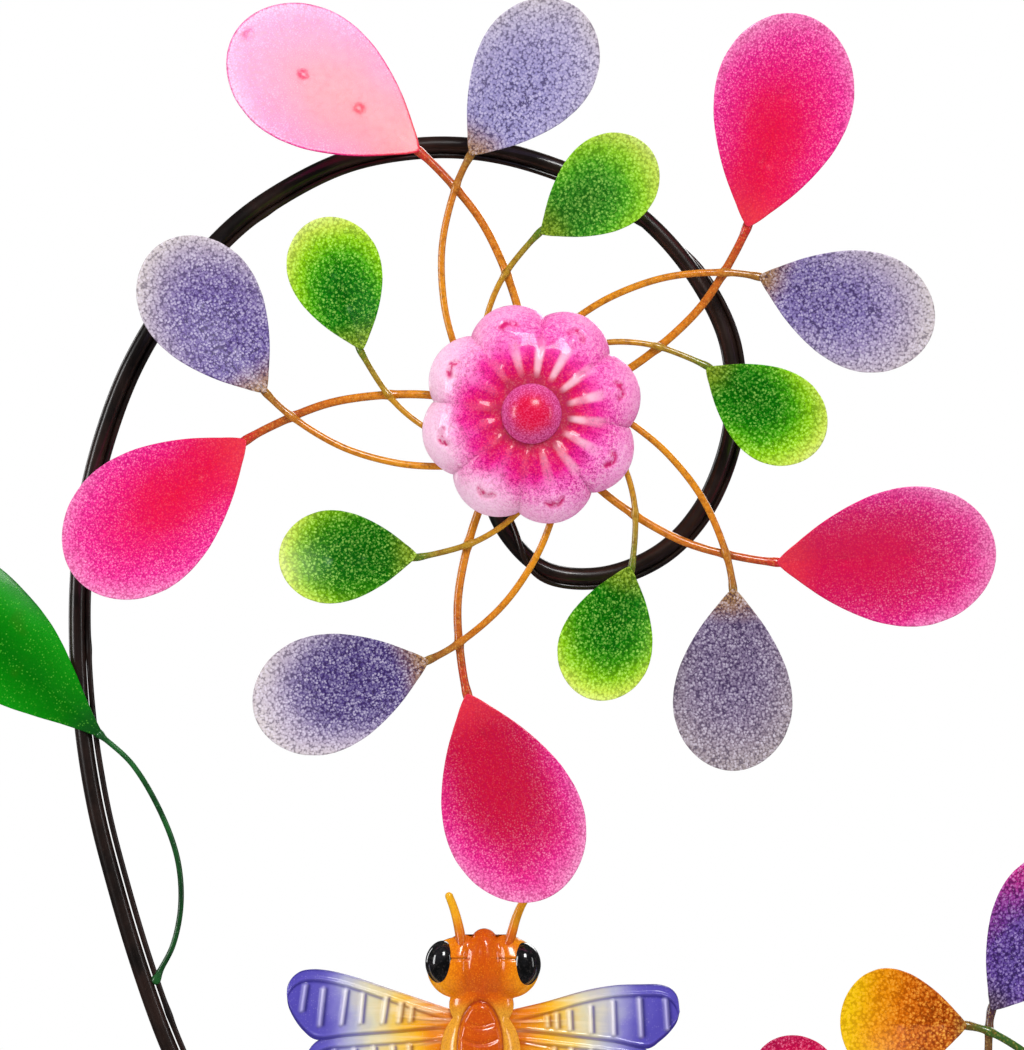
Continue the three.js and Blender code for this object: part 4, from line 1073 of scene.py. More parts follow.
stood("upper_pole_tube", [[0, pole_lo.z * 1000], [6.35, pole_lo.z * 1000], [6.35, pole_hi.z * 1000], [0, pole_hi.z * 1000]], pole_black, "upper_pole", "rod_black", index=5)
stood("lower_pole_tube", [[0, low_lo.z * 1000], [6.35, low_lo.z * 1000], [6.35, low_hi.z * 1000], [0, low_hi.z * 1000]], pole_black, "lower_pole", "rod_black", index=6)
zs, ze = slv_lo.z * 1000, slv_hi.z * 1000
stood("pole_sleeve_rolled", [
    [6.6, zs], [8.2, zs], [8.9, zs + 2], [8.6, zs + 5], [8.6, ze - 5], [8.9, ze - 2], [8.2, ze], [6.6, ze]], pole_black, "pole_sleeve", "rod_black", ease=0.6, index=7)
stood("fork_socket", [[0, 4.0], [13.4, 4.0], [13.2, 6.2], [10.8, 8.0], [9.5, 11.5], [9.5, 62], [6.7, 62], [6.7, 11.6], [0, 11.6]], pole_black, "ground_fork", "rod_black", ease=0.7, index=8)
for sx, tag in ((-66, "left"), (66, "right")):
    stood(f"fork_prong_{tag}", [[0, -205], [0.6, -204.2], [4.2, -178], [4.2, -3], [5.6, -0.8], [6.6, 0.6], [6.6, 3.0], [0, 3.0]], pole_black, "ground_fork", "rod_black", x=sx, segments=40, ease=0.5, index=9)


def soft_box(cx, cy, cz, hx, hy, hz, r=1.2, seg=4):
    """A flat bar with rounded edges, built as a swept rounded rectangle with eased ends."""
    def ringpts(sx, sy, inset):
        out = []
        rr = max(r - 0, 0.2)
        for qx, qz, a0 in ((1, 1, 0), (-1, 1, 90), (-1, -1, 180), (1, -1, 270)):
            for i in range(seg + 1):
                a = rad(a0 + 90 * i / seg)
                out.append(((hy - rr) * qx + rr * math.cos(a), (hz - rr) * qz + rr * math.sin(a)))
        return [(y * inset, z * inset) for y, z in out]
    rows = []
    verts, faces = [], []
    for off, inset in ((-hx, 0.86), (-hx + r * 0.35, 0.96), (-hx + r, 1.0), (hx - r, 1.0), (hx - r * 0.35, 0.96), (hx, 0.86)):
        start = len(verts)
        for y, z in ringpts(0, 0, inset):
            verts.append((cx + off, cy + y, cz + z))
        rows.append(start)
    m = 4 * (seg + 1)
    for a, b in zip(rows[:-1], rows[1:]):
        for j in range(m):
            k = (j + 1) % m
            faces.append((a + j, a + k, b + k, b + j))
    for row, x, flip in ((rows[0], -hx, True), (rows[-1], hx, False)):
        c = len(verts)
        verts.append((cx + x, cy, cz))
        for j in range(m):
            k = (j + 1) % m
            faces.append((c, row + k, row + j) if flip else (c, row + j, row + k))
    v = np.array(verts)
    vol = sum(np.dot(v[q[0]], np.cross(v[q[i]], v[q[i + 1]])) for q in faces for i in range(1, len(q) - 1))
    return v, ([tuple(reversed(q)) for q in faces] if vol < 0 else faces)


v, f = soft_box(0, 0, 3, 75, 10, 3)
build("fork_crossbar", v, f, pole_black, "stake", "ground_fork", "rod_black", sharp=40, index=10)


def bead_row(name, p0, p1, count, size, index):
    """A hand-laid weld: overlapping lumps in a groove between two rods, as one lumpy sausage."""
    p0, p1 = np.array(p0, float), np.array(p1, float)
    n = count * 8
    path = p0 + (p1 - p0) * np.linspace(0, 1, n)[:, None]
    s = np.linspace(0, 1, n)
    wob = np.sin(s * 23.7 + index) * 0.14 + np.sin(s * 41.3 + 2 * index) * 0.08
    r = size * (0.82 + 0.2 * np.abs(np.sin(math.pi * count * s)) + wob * 0.5) * np.clip(np.sin(math.pi * np.clip(s, 0.02, 0.98)) * 3.0, 0.35, 1.0)
    path[:, 1] += wob * size * 0.5
    v, f, a = tube(path, r, 14, 0.9)
    build(name, v, f, pole_black, "stake", (), "rod_black", index=index)


i = 20
for x, zs0, zs1, tag in ((-6.6, 792, 818, "scroll_low"), (-6.6, 862, 886, "scroll_high"), (6.6, 764, 790, "branch_low"), (6.6, 838, 862, "branch_high")):
    for side in (-1, 1):
        i += 1
        bead_row(f"weld_{tag}_{'front' if side < 0 else 'back'}", (x, side * 3.1, zs0), (x, side * 3.1, zs1), 6, 2.0, i)


# ---- dragonfly ------------------------------------------------------------------
Y0 = -8.45
WINGS = {
    "fore_left": (
        [[-14, 1263.8], [-21, 1266], [-49, 1275.4], [-72.2, 1283.1], [-86, 1286.4], [-95.3, 1287], [-101.5, 1285.8], [-106.2, 1282.2], [-108.8, 1277.5], [-109.2, 1273.1]],
        [[-14, 1253.2], [-22, 1253.0], [-50, 1250.6], [-75, 1248.8], [-92.9, 1247.2], [-100.2, 1252.6], [-105.5, 1259.9], [-108.4, 1266.4], [-109.2, 1273.1]],
        [(-99.8, 1.2, 1263.2, 1278.7), (-89.7, 1.2, 1254.8, 1276.6), (-77.2, 1.4, 1255.5, 1275.9), (-67.2, 0.8, 1256.2, 1273.8),
         (-54.2, 1.2, 1256.2, 1271.7), (-45.4, 0.8, 1256.6, 1268.6), (-39.2, 0.5, 1257.2, 1266.0)]),
    "hind_left": (
        [[-12, 1254.2], [-22, 1253.9], [-50, 1251.6], [-75, 1249.8], [-88.5, 1248.2], [-94.6, 1244.2], [-99.5, 1236], [-101.3, 1230], [-101.5, 1224]],
        [[-12, 1229.5], [-20, 1230.4], [-44, 1219], [-66, 1210], [-76, 1207.6], [-84, 1207.5], [-91, 1209.6], [-96, 1213], [-99.8, 1217.6], [-101.5, 1224]],
        [(-92.5, -0.8, 1215.5, 1238.5), (-81.5, -0.8, 1212.5, 1241.5), (-70.5, -0.8, 1213.8, 1242.5), (-59.5, -0.8, 1218.0, 1243.5), (-49.0, -0.6, 1222.5, 1244.0), (-40.0, -0.4, 1227.0, 1244.5)]),
    "fore_right": (
        [[14, 1263.0], [20, 1264.6], [36.4, 1268.5], [61.1, 1275.4], [77, 1278.0], [90.6, 1278.5], [102.9, 1278.2], [108.6, 1275.8], [111.8, 1271.4], [113.1, 1263]],
        [[14, 1252.2], [22, 1251.6], [50, 1248.5], [75, 1245.5], [95.2, 1242.1], [102, 1246.4], [107.4, 1251.4], [111.4, 1257], [113.1, 1263]],
        [(105.3, -0.6, 1252.7, 1270.6), (90.5, -0.6, 1248.6, 1271.0), (75.2, -0.4, 1249.6, 1269.5), (62.4, -0.3, 1250.6, 1266.7),
         (50.5, -0.3, 1252.4, 1264.2), (43.2, -0.2, 1253.4, 1262.4), (38.0, -0.2, 1254.2, 1261.0)]),
    "hind_right": (
        [[12, 1253.2], [22, 1252.6], [50, 1249.5], [75, 1246.5], [90, 1243.7], [97.4, 1239], [102.2, 1232], [103.9, 1224], [104, 1216]],
        [[12, 1227.6], [21, 1228.2], [46, 1216], [68, 1205.5], [78, 1202.2], [86, 1201.5], [93, 1202.8], [98.5, 1206], [102, 1210.5], [104, 1216]],
        [(95.0, 0.8, 1208.5, 1234.5), (84.0, 0.8, 1206.5, 1238.5), (73.0, 0.8, 1208.8, 1240.5), (62.0, 0.8, 1213.8, 1241.5), (51.0, 0.6, 1219.0, 1242.5), (41.5, 0.4, 1224.0, 1243.0)]),
}


def wing_mesh(upper, lower, slots_at, back=0.0, along=230, across=64):
    U = centripetal([[x, 0, z] for x, z in upper], 24)[:, [0, 2]]
    L = centripetal([[x, 0, z] for x, z in lower], 24)[:, [0, 2]]

    def at(path, w):
        s = np.concatenate([[0], np.cumsum(np.linalg.norm(np.diff(path, axis=0), axis=1))])
        return np.stack([np.interp(w * s[-1], s, path[:, i]) for i in (0, 1)], 1)

    w = np.linspace(0, 1, along + 1)
    w = 1 - (1 - w) ** 1.12
    w[-1] = 0.9985
    up, lo = at(U, w), at(L, w)
    cv = (1 - np.cos(np.linspace(0, math.pi, across + 1))) / 2
    cv = 0.55 * cv + 0.45 * np.linspace(0, 1, across + 1)
    grid = lo[:, None] + (up - lo)[:, None] * cv[None, :, None]
    X, Z = grid[..., 0], grid[..., 1]
    span = np.linalg.norm(up - lo, axis=1)[:, None]
    d_up, d_lo = (1 - cv)[None] * span, cv[None] * span
    full = np.clip((1 - w) * 100 / 9, 0, 1)[:, None]
    root = np.clip((np.abs(X) - 16) / 10, 0, 1)
    crest, painted_shade_rim = np.zeros_like(X), np.zeros_like(X)
    h = 1.2 * np.exp(-(((d_up - 5.2) / 0.85) ** 2)) * full * root
    # painted shade beside the leading-edge fold, and darker lines along both edges
    painted_shade_rim = np.maximum(painted_shade_rim, 0.75 * np.exp(-(((d_up - 6.9) / 0.8) ** 2)) * full * root)
    painted_shade_rim = np.maximum(painted_shade_rim, 0.8 * np.exp(-(((d_lo - 1.0) / 1.1) ** 2)) * root)
    painted_shade_rim = np.maximum(painted_shade_rim, 0.8 * np.exp(-((d_up / 0.9) ** 2)) * root)
    h += 0.55 * np.exp(-(((d_lo - 2.6) / 0.8) ** 2)) * full * root
    # two folds that run together towards the root
    mid = (d_up - d_lo) / (span + 1e-6)
    fan = np.clip((52 - np.abs(X)) / 20, 0, 1) * root
    h += 1.1 * np.exp(-(((mid - 0.18) * span / 1.2) ** 2)) * fan
    h += 0.8 * np.exp(-(((mid + 0.42) * span / 1.1) ** 2)) * fan
    for x, lean, z0, z1 in slots_at:
        t = np.clip((Z - z0) / (z1 - z0), 0, 1)
        xc = x + lean * (2 * t - 1)
        dz = np.maximum(np.maximum(z0 + 1 - Z, Z - z1 + 1), 0)
        bar = np.exp(-(((X - xc) ** 2 + dz**2) / 1.25**2))
        around_bar = np.exp(-(((X - xc) ** 2 + dz**2) / 2.5**2))
        h += 3.1 * bar
        h -= 0.8 * around_bar
        # the bar's crest is marked for a painted highlight
        crest = np.maximum(crest, bar)
        # painted shadow on one side of each bar
        lee = np.exp(-(((X - xc - 1.9) ** 2 + dz**2) / 1.1**2))
        painted_shade_rim = np.maximum(painted_shade_rim, lee)
    rim = np.minimum(np.minimum(d_up, d_lo), (1 - w)[:, None] * 110)
    round_ = 0.55 * (1 - np.sqrt(np.clip(1 - (1 - np.clip(rim / 0.7, 0, 1)) ** 2, 0, 1)))
    belly = 1.1 * np.sin(math.pi * np.clip(d_lo / (span + 1e-6), 0, 1)) * root
    front = Y0 + 0.35 + back - h + round_ - belly
    rear = Y0 + 1.5 + back - round_ - h * 0.6 - belly
    n, m = X.shape
    verts = np.concatenate([np.stack([X, front, Z], -1).reshape(-1, 3), np.stack([X, rear, Z], -1).reshape(-1, 3)])
    faces = []
    off = n * m
    for i in range(n - 1):
        for j in range(m - 1):
            a, b, c, d = i * m + j, i * m + j + 1, (i + 1) * m + j + 1, (i + 1) * m + j
            faces.append((a, b, c, d))
            faces.append((off + a, off + d, off + c, off + b))
    ring = [(0, j) for j in range(m)] + [(i, m - 1) for i in range(1, n)] + [(n - 1, j) for j in range(m - 2, -1, -1)] + [(i, 0) for i in range(n - 2, 0, -1)]
    for (i0, j0), (i1, j1) in zip(ring, ring[1:] + ring[:1]):
        a, b = i0 * m + j0, i1 * m + j1
        faces.append((b, a, off + a, off + b))
    F = np.array(faces)
    A, B, C, D = (verts[F[:, q]] for q in range(4))
    if (A * np.cross(B, C)).sum() + (A * np.cross(C, D)).sum() < 0:
        faces = [tuple(reversed(q)) for q in faces]
    return verts, faces, {"crest": np.tile(crest.ravel(), 2), "painted_shade_rim": np.tile(painted_shade_rim.ravel(), 2)}


def wing_paint():
    p = Paint("wing_enamel")
    mm, grain = p.place()
    xyz = p.new("ShaderNodeSeparateXYZ")
    p.put(xyz.inputs[0], mm)
    x = p.math("ABSOLUTE", p.math("SUBTRACT", xyz.outputs[0], 0.6))
    z = xyz.outputs[2]
    cloud = p.noise(grain, 0.045, 3, 0.6)
    r = p.math("ADD", x, p.math("MULTIPLY", p.math("SUBTRACT", cloud, 0.5), 26.0))
    # colour bleeds further in along the leading edge
    # colour runs from orange at the root through yellow and cream to violet at the tip
    base = p.ramp(p.math("DIVIDE", r, 120.0), [
        (0.10, (206, 84, 4)), (0.20, (232, 132, 6)), (0.31, (244, 178, 30)), (0.41, (238, 200, 96)), (0.51, (216, 208, 176)),
        (0.61, (178, 178, 204)), (0.70, (134, 128, 202)), (0.80, (92, 84, 184)), (0.92, (84, 74, 178))])
    streak = p.noise(p.vec("MULTIPLY", mm, (0.012, 0.0, 0.16)), 1.0, 3, 0.6)
    base = p.mix(p.math("MULTIPLY", p.math("MULTIPLY", p.smooth(streak, 0.5, 0.68), 0.45), p.smooth(x, 78.0, 60.0)), base, (242, 228, 196))
    base = p.mix(p.math("MULTIPLY", p.math("MULTIPLY", p.smooth(streak, 0.46, 0.3), 0.5), p.smooth(x, 72.0, 50.0)), base, (226, 146, 22))
    base = p.mix(p.math("MULTIPLY", p.smooth(x, 76.0, 92.0), 0.7), base, (82, 72, 174))
    v1 = p.cells(grain, 1 / 1.1)
    tone = p.new("ShaderNodeSeparateColor")
    p.put(tone.inputs[0], v1.outputs["Color"])
    spot = p.math("MULTIPLY", p.smooth(v1.outputs["Distance"], 0.5, 0.1), p.smooth(tone.outputs[0], 0.5, 1.0))
    colour = p.mix(p.math("MULTIPLY", spot, 0.12), base, (226, 214, 236))
    # painted shade beside the bars and the fold, and the darker edge lines
    tint = p.ramp(p.math("DIVIDE", r, 120.0), [(0.2, (166, 62, 2)), (0.36, (150, 96, 30)), (0.46, (96, 84, 132)), (0.58, (72, 64, 150)), (0.75, (34, 26, 116))])
    colour = p.mix(p.math("MULTIPLY", p.attribute("painted_shade_rim"), 0.95), colour, tint)
    # painted highlight along each bar's crest, near white
    crest_tint = p.ramp(p.math("DIVIDE", r, 120.0), [(0.2, (252, 206, 100)), (0.45, (255, 246, 222)), (0.62, (244, 240, 248)), (0.8, (188, 182, 236))])
    colour = p.mix(p.math("MULTIPLY", p.attribute("crest"), 0.9), colour, crest_tint)
    normal = p.bump(p.noise(grain, 0.7, 2, 0.5), 0.03, 0.7)
    rough = p.math("ADD", 0.16, p.math("MULTIPLY", p.noise(grain, 0.2, 2, 0.5), 0.1))
    return p.finish(colour, rough, 0.0, 0.6, 0.06, normal)


wing_enamel = wing_paint()
for i, (tag, (upper, lower, slots_at)) in enumerate(WINGS.items()):
    v, f, marks = wing_mesh(upper, lower, slots_at, 0.6 if tag.startswith("hind") else 0.0)
    build(f"wing_{tag}", v, f, wing_enamel, "stake", "dragonfly_wings", "dragonfly_wing", index=40 + i, attrs=marks)

DOMES = [  # centre x, z, radius x, radius z, height
    (-12.6, 1288.1, 17.3, 17.2, 12.6), (16.6, 1288.1, 17.2, 17.2, 12.6), (2.2, 1289.5, 12.5, 19.5, 13.4), (2.5, 1302.0, 7.8, 8.2, 9.6),
    (0.9, 1267.0, 18.3, 15.0, 9.4), (0.4, 1240.5, 22.7, 27.0, 13.0),
    (-9.4, 1299.6, 9.6, 7.2, 8.6), (15.0, 1299.6, 9.6, 7.2, 8.6),
]
TAIL = [(1122, 0.0), (1122.6, 1.9), (1124, 3.6), (1128, 5.2), (1134, 6.3), (1150, 7.1), (1170, 8.3), (1190, 10.1), (1206, 11.8), (1216, 12.8), (1226, 12.4), (1232, 11)]


def body_height(x, z):
    hs = []
    for cx, cz, rx, rz, H in DOMES:
        q = 1 - ((x - cx) / rx) ** 2 - ((z - cz) / rz) ** 2
        hs.append(H * np.sqrt(np.maximum(q, 0)))
    w = np.interp(z, [t[0] for t in TAIL], [t[1] for t in TAIL], left=0, right=0) + 1e-6
    rings_ = 1 - 0.07 * np.exp(-((((z - 1128) % 13.5) - 6.75) / 1.2) ** 2) * (z < 1206)
    hs.append(w * rings_ * np.sqrt(np.maximum(1 - ((x - 0.2) / w) ** 2, 0)) * (z > 1122) * (z < 1232))
    hs = np.array(hs)
    k = 1.4
    top = hs.max(0)
    h = top + k * np.log(np.exp((hs - top) / k).sum(0)) - k * math.log(len(hs)) * 0.35
    h = np.minimum(h, top + 0.8)
    return np.maximum(h * np.clip(top / 1.2, 0, 1), 0), top


def body_relief(x, z):
    h, top = body_height(x, z)
    # creases beside the brow, the cross line from eye to brow, and a raised oval on the thorax
    for xc, lo, hi in ((-7.6, 1274, 1303), (11.9, 1274, 1303)):
        on = np.clip((z - lo) / 6, 0, 1) * np.clip((hi - z) / 6, 0, 1)
        h = h - 1.5 * np.exp(-(((x - xc - 0.0035 * (z - 1289) ** 2 * (1 if xc < 0 else -1)) / 1.5) ** 2)) * on
    on = np.clip((z - 1276) / 5, 0, 1) * np.clip((1304 - z) / 5, 0, 1)
    h = h - 0.9 * np.exp(-(((x - 1.4) / 1.3) ** 2)) * on
    for a, b in ((-19, -5.5), (10.5, 22)):
        on = np.clip((x - a) / 2, 0, 1) * np.clip((b - x) / 2, 0, 1)
        h = h - 0.7 * np.exp(-(((z - 1294.6 + 0.03 * abs(a + b)) / 0.55) ** 2)) * on
    e = np.sqrt(((x - 0.2) / 11.9) ** 2 + ((z - 1243.5) / 24.5) ** 2)
    h = h + 1.0 / (1 + np.exp((e - 1) * 22)) - 1.9 * np.exp(-(((e - 1.07) / 0.075) ** 2))
    on = np.clip((1 - e) / 0.2, 0, 1)
    for zc in (1256, 1246, 1236, 1227):
        h = h - 0.9 * np.exp(-(((z - zc - 0.03 * (x - 0.2) ** 2) / 1.1) ** 2)) * on
    return np.maximum(h, 0) * (top > 0)


def body_mesh():
    zz = np.concatenate([1310.2 - 0.6 * np.linspace(0.05, 1, 8) ** 2, np.arange(1309.5, 1301.7, -0.11), np.arange(1301.6, 1130, -0.62), 1130 - 7.9 * np.sin(np.linspace(0, math.pi / 2 * 0.985, 18))])
    cols = 84
    q = -np.cos(np.linspace(0, math.pi, cols))
    fine = np.linspace(-32, 36, 1400)
    rows = []
    for z in zz:
        top = body_height(fine, np.full_like(fine, z))[1]
        on = np.nonzero(top > 0)[0]
        if len(on) < 2:
            mid = 2.5 if z > 1250 else 0.2
            rows.append((mid - 0.3, mid + 0.3))
        else:
            rows.append((fine[on[0]], fine[on[-1]]))
    rows = np.array(rows)
    X = (rows[:, :1] + rows[:, 1:]) / 2 + (rows[:, 1:] - rows[:, :1]) / 2 * q[None]
    Z = np.repeat(zz[:, None], cols, 1)
    h = body_relief(X, Z)
    front = Y0 - h
    rear = Y0 + 0.35 - np.maximum(h - 0.9, 0)
    n, m = X.shape
    verts = np.concatenate([np.stack([X, front, Z], -1).reshape(-1, 3), np.stack([X, rear, Z], -1).reshape(-1, 3)])
    faces = []
    off = n * m
    for i in range(n - 1):
        for j in range(m - 1):
            a, b, c, d = i * m + j, i * m + j + 1, (i + 1) * m + j + 1, (i + 1) * m + j
            faces.append((a, d, c, b))
            faces.append((off + a, off + b, off + c, off + d))
    ring = [(0, j) for j in range(m)] + [(i, m - 1) for i in range(1, n)] + [(n - 1, j) for j in range(m - 2, -1, -1)] + [(i, 0) for i in range(n - 2, 0, -1)]
    for (i0, j0), (i1, j1) in zip(ring, ring[1:] + ring[:1]):
        a, b = i0 * m + j0, i1 * m + j1
        faces.append((a, b, off + b, off + a))
    F = np.array(faces)
    A, B, C, D = (verts[F[:, k]] for k in range(4))
    if (A * np.cross(B, C)).sum() + (A * np.cross(C, D)).sum() < 0:
        faces = [tuple(reversed(k)) for k in faces]
    return verts, faces


def body_paint():
    p = Paint("dragonfly_enamel")
    mm, grain = p.place()
    xyz = p.new("ShaderNodeSeparateXYZ")
    p.put(xyz.inputs[0], mm)
    x, z = xyz.outputs[0], xyz.outputs[2]
    off = p.math("ABSOLUTE", p.math("SUBTRACT", x, 1.4))
    cloud = p.noise(grain, 0.09, 3, 0.6)
    r = p.math("ADD", off, p.math("MULTIPLY", p.math("SUBTRACT", cloud, 0.5), 12.0))
    base = p.ramp(p.math("DIVIDE", r, 30.0), [(0.0, (206, 82, 2)), (0.3, (214, 96, 2)), (0.48, (228, 118, 0)), (0.7, (240, 146, 0)), (1.0, (244, 166, 12))])
    # shoulders stay yellow, the oval between them is rust
    ex = p.math("DIVIDE", p.math("SUBTRACT", x, 0.2), 11.9)
    ez = p.math("DIVIDE", p.math("SUBTRACT", z, 1243.5), 24.5)
    e = p.math("SQRT", p.math("ADD", p.math("MULTIPLY", ex, ex), p.math("MULTIPLY", ez, ez)))
    low = p.smooth(z, 1272.0, 1262.0)
    base = p.mix(p.math("MULTIPLY", p.math("MULTIPLY", low, p.smooth(e, 1.0, 1.2)), 0.85), base, (236, 170, 52))
    base = p.mix(p.math("MULTIPLY", p.math("MULTIPLY", low, p.smooth(e, 1.02, 0.9)), 0.7), base, (200, 78, 6))
    gap = p.math("ABSOLUTE", p.math("SUBTRACT", e, 1.07))
    base = p.mix(p.math("MULTIPLY", p.smooth(gap, 0.07, 0.01), 0.7), base, (150, 34, 4))
    # cross lines from the eyes
    line = p.math("MULTIPLY", p.smooth(p.math("ABSOLUTE", p.math("SUBTRACT", z, 1294.2)), 0.9, 0.3), p.smooth(off, 6.0, 9.0))
    base = p.mix(p.math("MULTIPLY", line, 0.55), base, (130, 52, 6))
    v1 = p.cells(grain, 1 / 1.0)
    tone = p.new("ShaderNodeSeparateColor")
    p.put(tone.inputs[0], v1.outputs["Color"])
    spot = p.math("MULTIPLY", p.smooth(v1.outputs["Distance"], 0.5, 0.12), p.smooth(tone.outputs[0], 0.45, 1.0))
    colour = p.mix(p.math("MULTIPLY", spot, 0.4), base, (250, 178, 40))
    dark = p.math("MULTIPLY", p.smooth(v1.outputs["Distance"], 0.45, 0.7), 0.25)
    colour = p.mix(dark, colour, (160, 40, 0))
    normal = p.bump(p.noise(grain, 0.6, 2, 0.5), 0.04, 0.7)
    rough = p.math("ADD", 0.13, p.math("MULTIPLY", p.noise(grain, 0.2, 2, 0.5), 0.1))
    return p.finish(colour, rough, 0.0, 0.7, 0.05, normal)


orange = body_paint()
v, f = body_mesh()
build("dragonfly_body_pressed", v, f, orange, "stake", "dragonfly_body", "dragonfly_orange", index=50)


def feeler_paint():
    p = Paint("feeler_enamel")
    mm, grain = p.place()
    a = p.math("ADD", p.attribute("along"), p.math("MULTIPLY", p.math("SUBTRACT", p.noise(grain, 0.15, 2, 0.5), 0.5), 0.3))
    base = p.ramp(a, [(0.0, (190, 74, 6)), (0.3, (214, 112, 8)), (0.6, (238, 160, 10)), (1.0, (236, 174, 20))])
    v1 = p.cells(grain, 1 / 1.1)
    colour = p.mix(p.math("MULTIPLY", p.smooth(v1.outputs["Distance"], 0.5, 0.1), 0.2), base, (250, 206, 90))
    return p.finish(colour, 0.22, 0.0, 0.5, 0.07, p.bump(p.noise(grain, 0.7, 2, 0.5), 0.04, 0.7))


feelers = feeler_paint()
for tag, pts in (("left", [[-10.4, Y0 - 5.2, 1300.5], [-11.1, Y0 - 4.4, 1307], [-13.0, Y0 - 3.8, 1316], [-15.1, Y0 - 3.3, 1323], [-17.4, Y0 - 3.0, 1328.9]]),
                 ("right", [[15.6, Y0 - 5.2, 1300.5], [17.8, Y0 - 4.4, 1307], [20.4, Y0 - 3.8, 1316], [23.2, Y0 - 3.3, 1322.8], [26.0, Y0 - 3.0, 1327.6]])):
    path = evenly(centripetal(pts), 0.9)
    s = lengths(path) / lengths(path)[-1]
    v, f, along = tube(path, 3.0 - 0.75 * s, 20, 0.9)
    build(f"feeler_{tag}", v, f, feelers, "stake", (), "dragonfly_orange", index=52, attrs={"along": along / lengths(path)[-1]})


def eye_paint():
    p = Paint("eye_enamel")
    mm, grain = p.place()
    base = p.mix(p.smooth(p.noise(grain, 0.12, 3, 0.6), 0.35, 0.7), (6, 6, 7), (30, 30, 33))
    v1 = p.cells(grain, 1 / 0.9)
    tone = p.new("ShaderNodeSeparateColor")
    p.put(tone.inputs[0], v1.outputs["Color"])
    colour = p.mix(p.math("MULTIPLY", p.smooth(tone.outputs[0], 0.7, 1.0), 0.1), base, (110, 100, 96))
    return p.finish(colour, p.math("ADD", 0.08, p.math("MULTIPLY", p.noise(grain, 0.25, 2, 0.5), 0.1)), 0.0, 1.0, 0.04, p.bump(p.noise(grain, 0.35, 2, 0.5), 0.03, 0.6))


eyes = eye_paint()
for tag, cx, cz, node in (("left", -21.2, 1291.0, "dragonfly_left_eye"), ("right", 24.9, 1290.0, "dragonfly_right_eye")):
    nl, nm = 40, 64
    verts, faces = [], []
    out = -1 if tag == "left" else 1
    for i in range(nl + 1):
        th = math.pi * i / nl
        for j in range(nm):
            ph = 2 * math.pi * j / nm
            dx, dy, dz = math.sin(th) * math.cos(ph), math.sin(th) * math.sin(ph), math.cos(th)
            verts.append((cx + 9.1 * dx + out * 0.5 * dx * dx, Y0 - 2.9 + 9.3 * dy * (1 if dy < 0 else 0.3), cz + 12.6 * dz * (1 - 0.04 * dx * out)))
    for i in range(nl):
        for j in range(nm):
            k = (j + 1) % nm
            faces.append((i * nm + j, (i + 1) * nm + j, (i + 1) * nm + k, i * nm + k))
    verts = np.array(verts)
    keep, remap, nv = [], {}, []
    for i, vv in enumerate(verts):
        key = (round(vv[0], 4), round(vv[1], 4), round(vv[2], 4))
        if key not in remap:
            remap[key] = len(nv)
            nv.append(vv)
        keep.append(remap[key])
    clean = []
    for q in faces:
        r = []
        for i in q:
            if keep[i] not in r:
                r.append(keep[i])
        if len(r) > 2:
            clean.append(tuple(r))
    nv = np.array(nv)
    vol = sum(np.dot(nv[q[0]], np.cross(nv[q[i]], nv[q[i + 1]])) for q in clean for i in range(1, len(q) - 1))
    if vol < 0:
        clean = [tuple(reversed(q)) for q in clean]
    build(f"eye_{tag}_bead", nv, clean, eyes, "stake", node, "dragonfly_eye", index=54)

# ---- floor and light ---------------------------------------------------------------

fl = bpy.data.meshes.new("floor_disc")
ring_pts = [(0.1 + 2.8 * math.cos(2 * math.pi * j / 192), 2.8 * math.sin(2 * math.pi * j / 192), -0.2055) for j in range(192)]
fl.from_pydata(ring_pts, [], [tuple(range(192))])
floor = bpy.data.objects.new("floor_disc", fl)
bpy.context.scene.collection.objects.link(floor)
fp = Paint("floor_plain")
_, fg = fp.place()
fp.finish(fp.mix(fp.noise(fg, 0.002, 2, 0.5), (246, 246, 245), (250, 250, 249)), 0.7)
fl.materials.append(fp.mat)
floor.visible_glossy = False

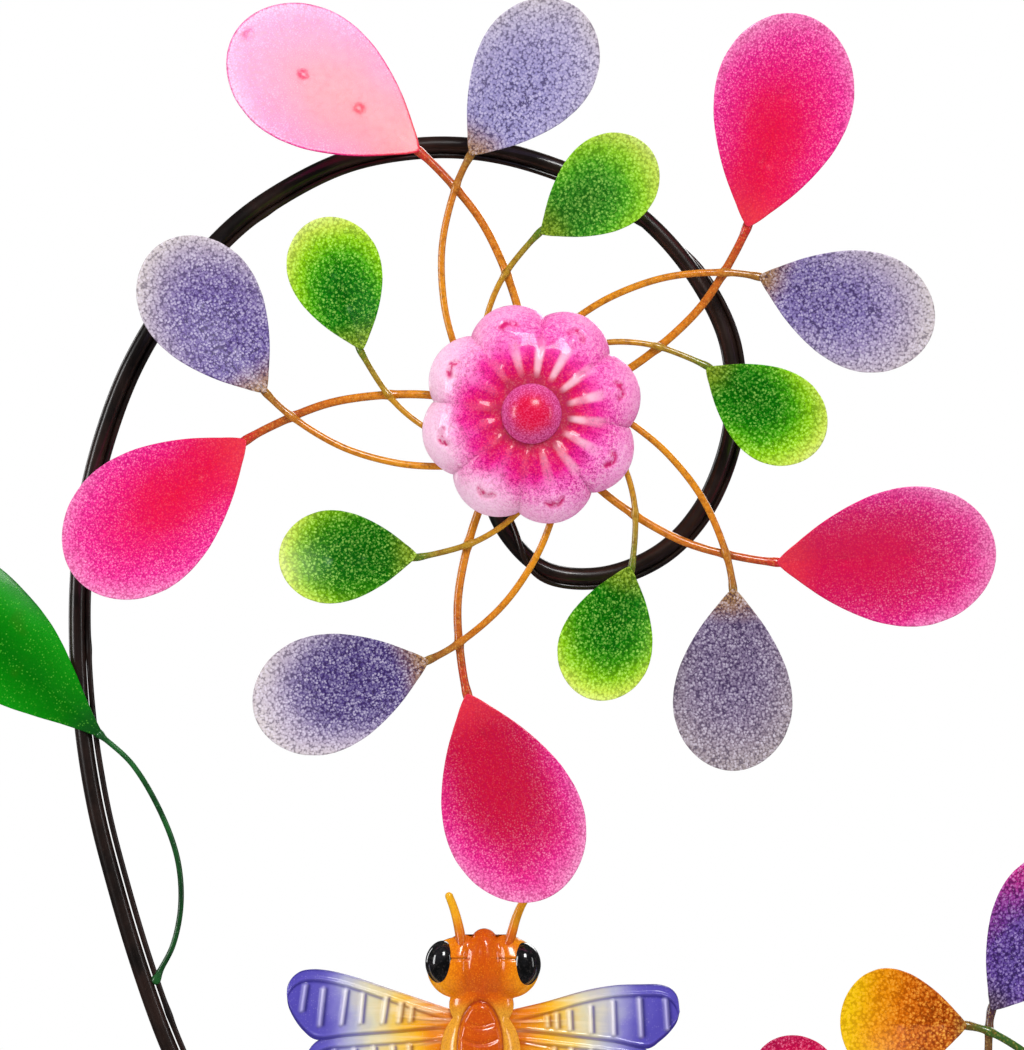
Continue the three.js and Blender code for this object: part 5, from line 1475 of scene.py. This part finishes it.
world = bpy.data.worlds.new("studio")
bpy.context.scene.world = world
world.use_nodes = True
wt = world.node_tree
bg = wt.nodes["Background"]
path_node = wt.nodes.new("ShaderNodeLightPath")
glossy = wt.nodes.new("ShaderNodeMix")
glossy.data_type = "FLOAT"
wt.links.new(path_node.outputs["Is Glossy Ray"], glossy.inputs[0])
glossy.inputs[2].default_value = 0.42
glossy.inputs[3].default_value = 0.04
mixer = wt.nodes.new("ShaderNodeMix")
mixer.data_type = "FLOAT"
wt.links.new(path_node.outputs["Is Camera Ray"], mixer.inputs[0])
wt.links.new(glossy.outputs[0], mixer.inputs[2])
mixer.inputs[3].default_value = 1.0
wt.links.new(mixer.outputs[0], bg.inputs["Strength"])
bg.inputs["Color"].default_value = (1, 1, 1, 1)


def softbox(name, direction, distance, size_x, size_y, radiance, aim=(0.029, -0.034, 1.6)):
    d = Vector(direction).normalized()
    light = bpy.data.lights.new(name, "AREA")
    light.shape = "RECTANGLE"
    light.size, light.size_y = size_x, size_y
    light.energy = radiance * math.pi * size_x * size_y
    ob = bpy.data.objects.new(name, light)
    bpy.context.scene.collection.objects.link(ob)
    ob.location = Vector(aim) + d * distance
    ob.rotation_euler = d.to_track_quat("Z", "Y").to_euler()
    ob.visible_camera = False
    return ob


key = softbox("key_softbox", (0.235, -0.76, 0.60), 3.2, 1.7, 1.7, 3.0)
key.visible_glossy = False
softbox("window_softbox", (0.239, -0.819, 0.52), 3.2, 0.9, 0.9, 16.5, (-0.11, -0.05, 1.77))
softbox("left_softbox", (-0.85, -0.50, 0.10), 3.0, 0.6, 1.7, 8.0)
softbox("right_strip", (0.9, -0.40, 0.05), 3.0, 0.3, 1.8, 4.0)
ceiling = softbox("top_fill", (0.0, 0.1, 1.0), 4.6, 8.0, 8.0, 0.8)
ceiling.visible_glossy = False
softbox("back_softbox", (0.35, 0.85, 0.42), 3.2, 1.7, 1.7, 4.0)
softbox("back_left_strip", (-0.8, 0.6, 0.15), 3.0, 0.5, 1.8, 4.0)
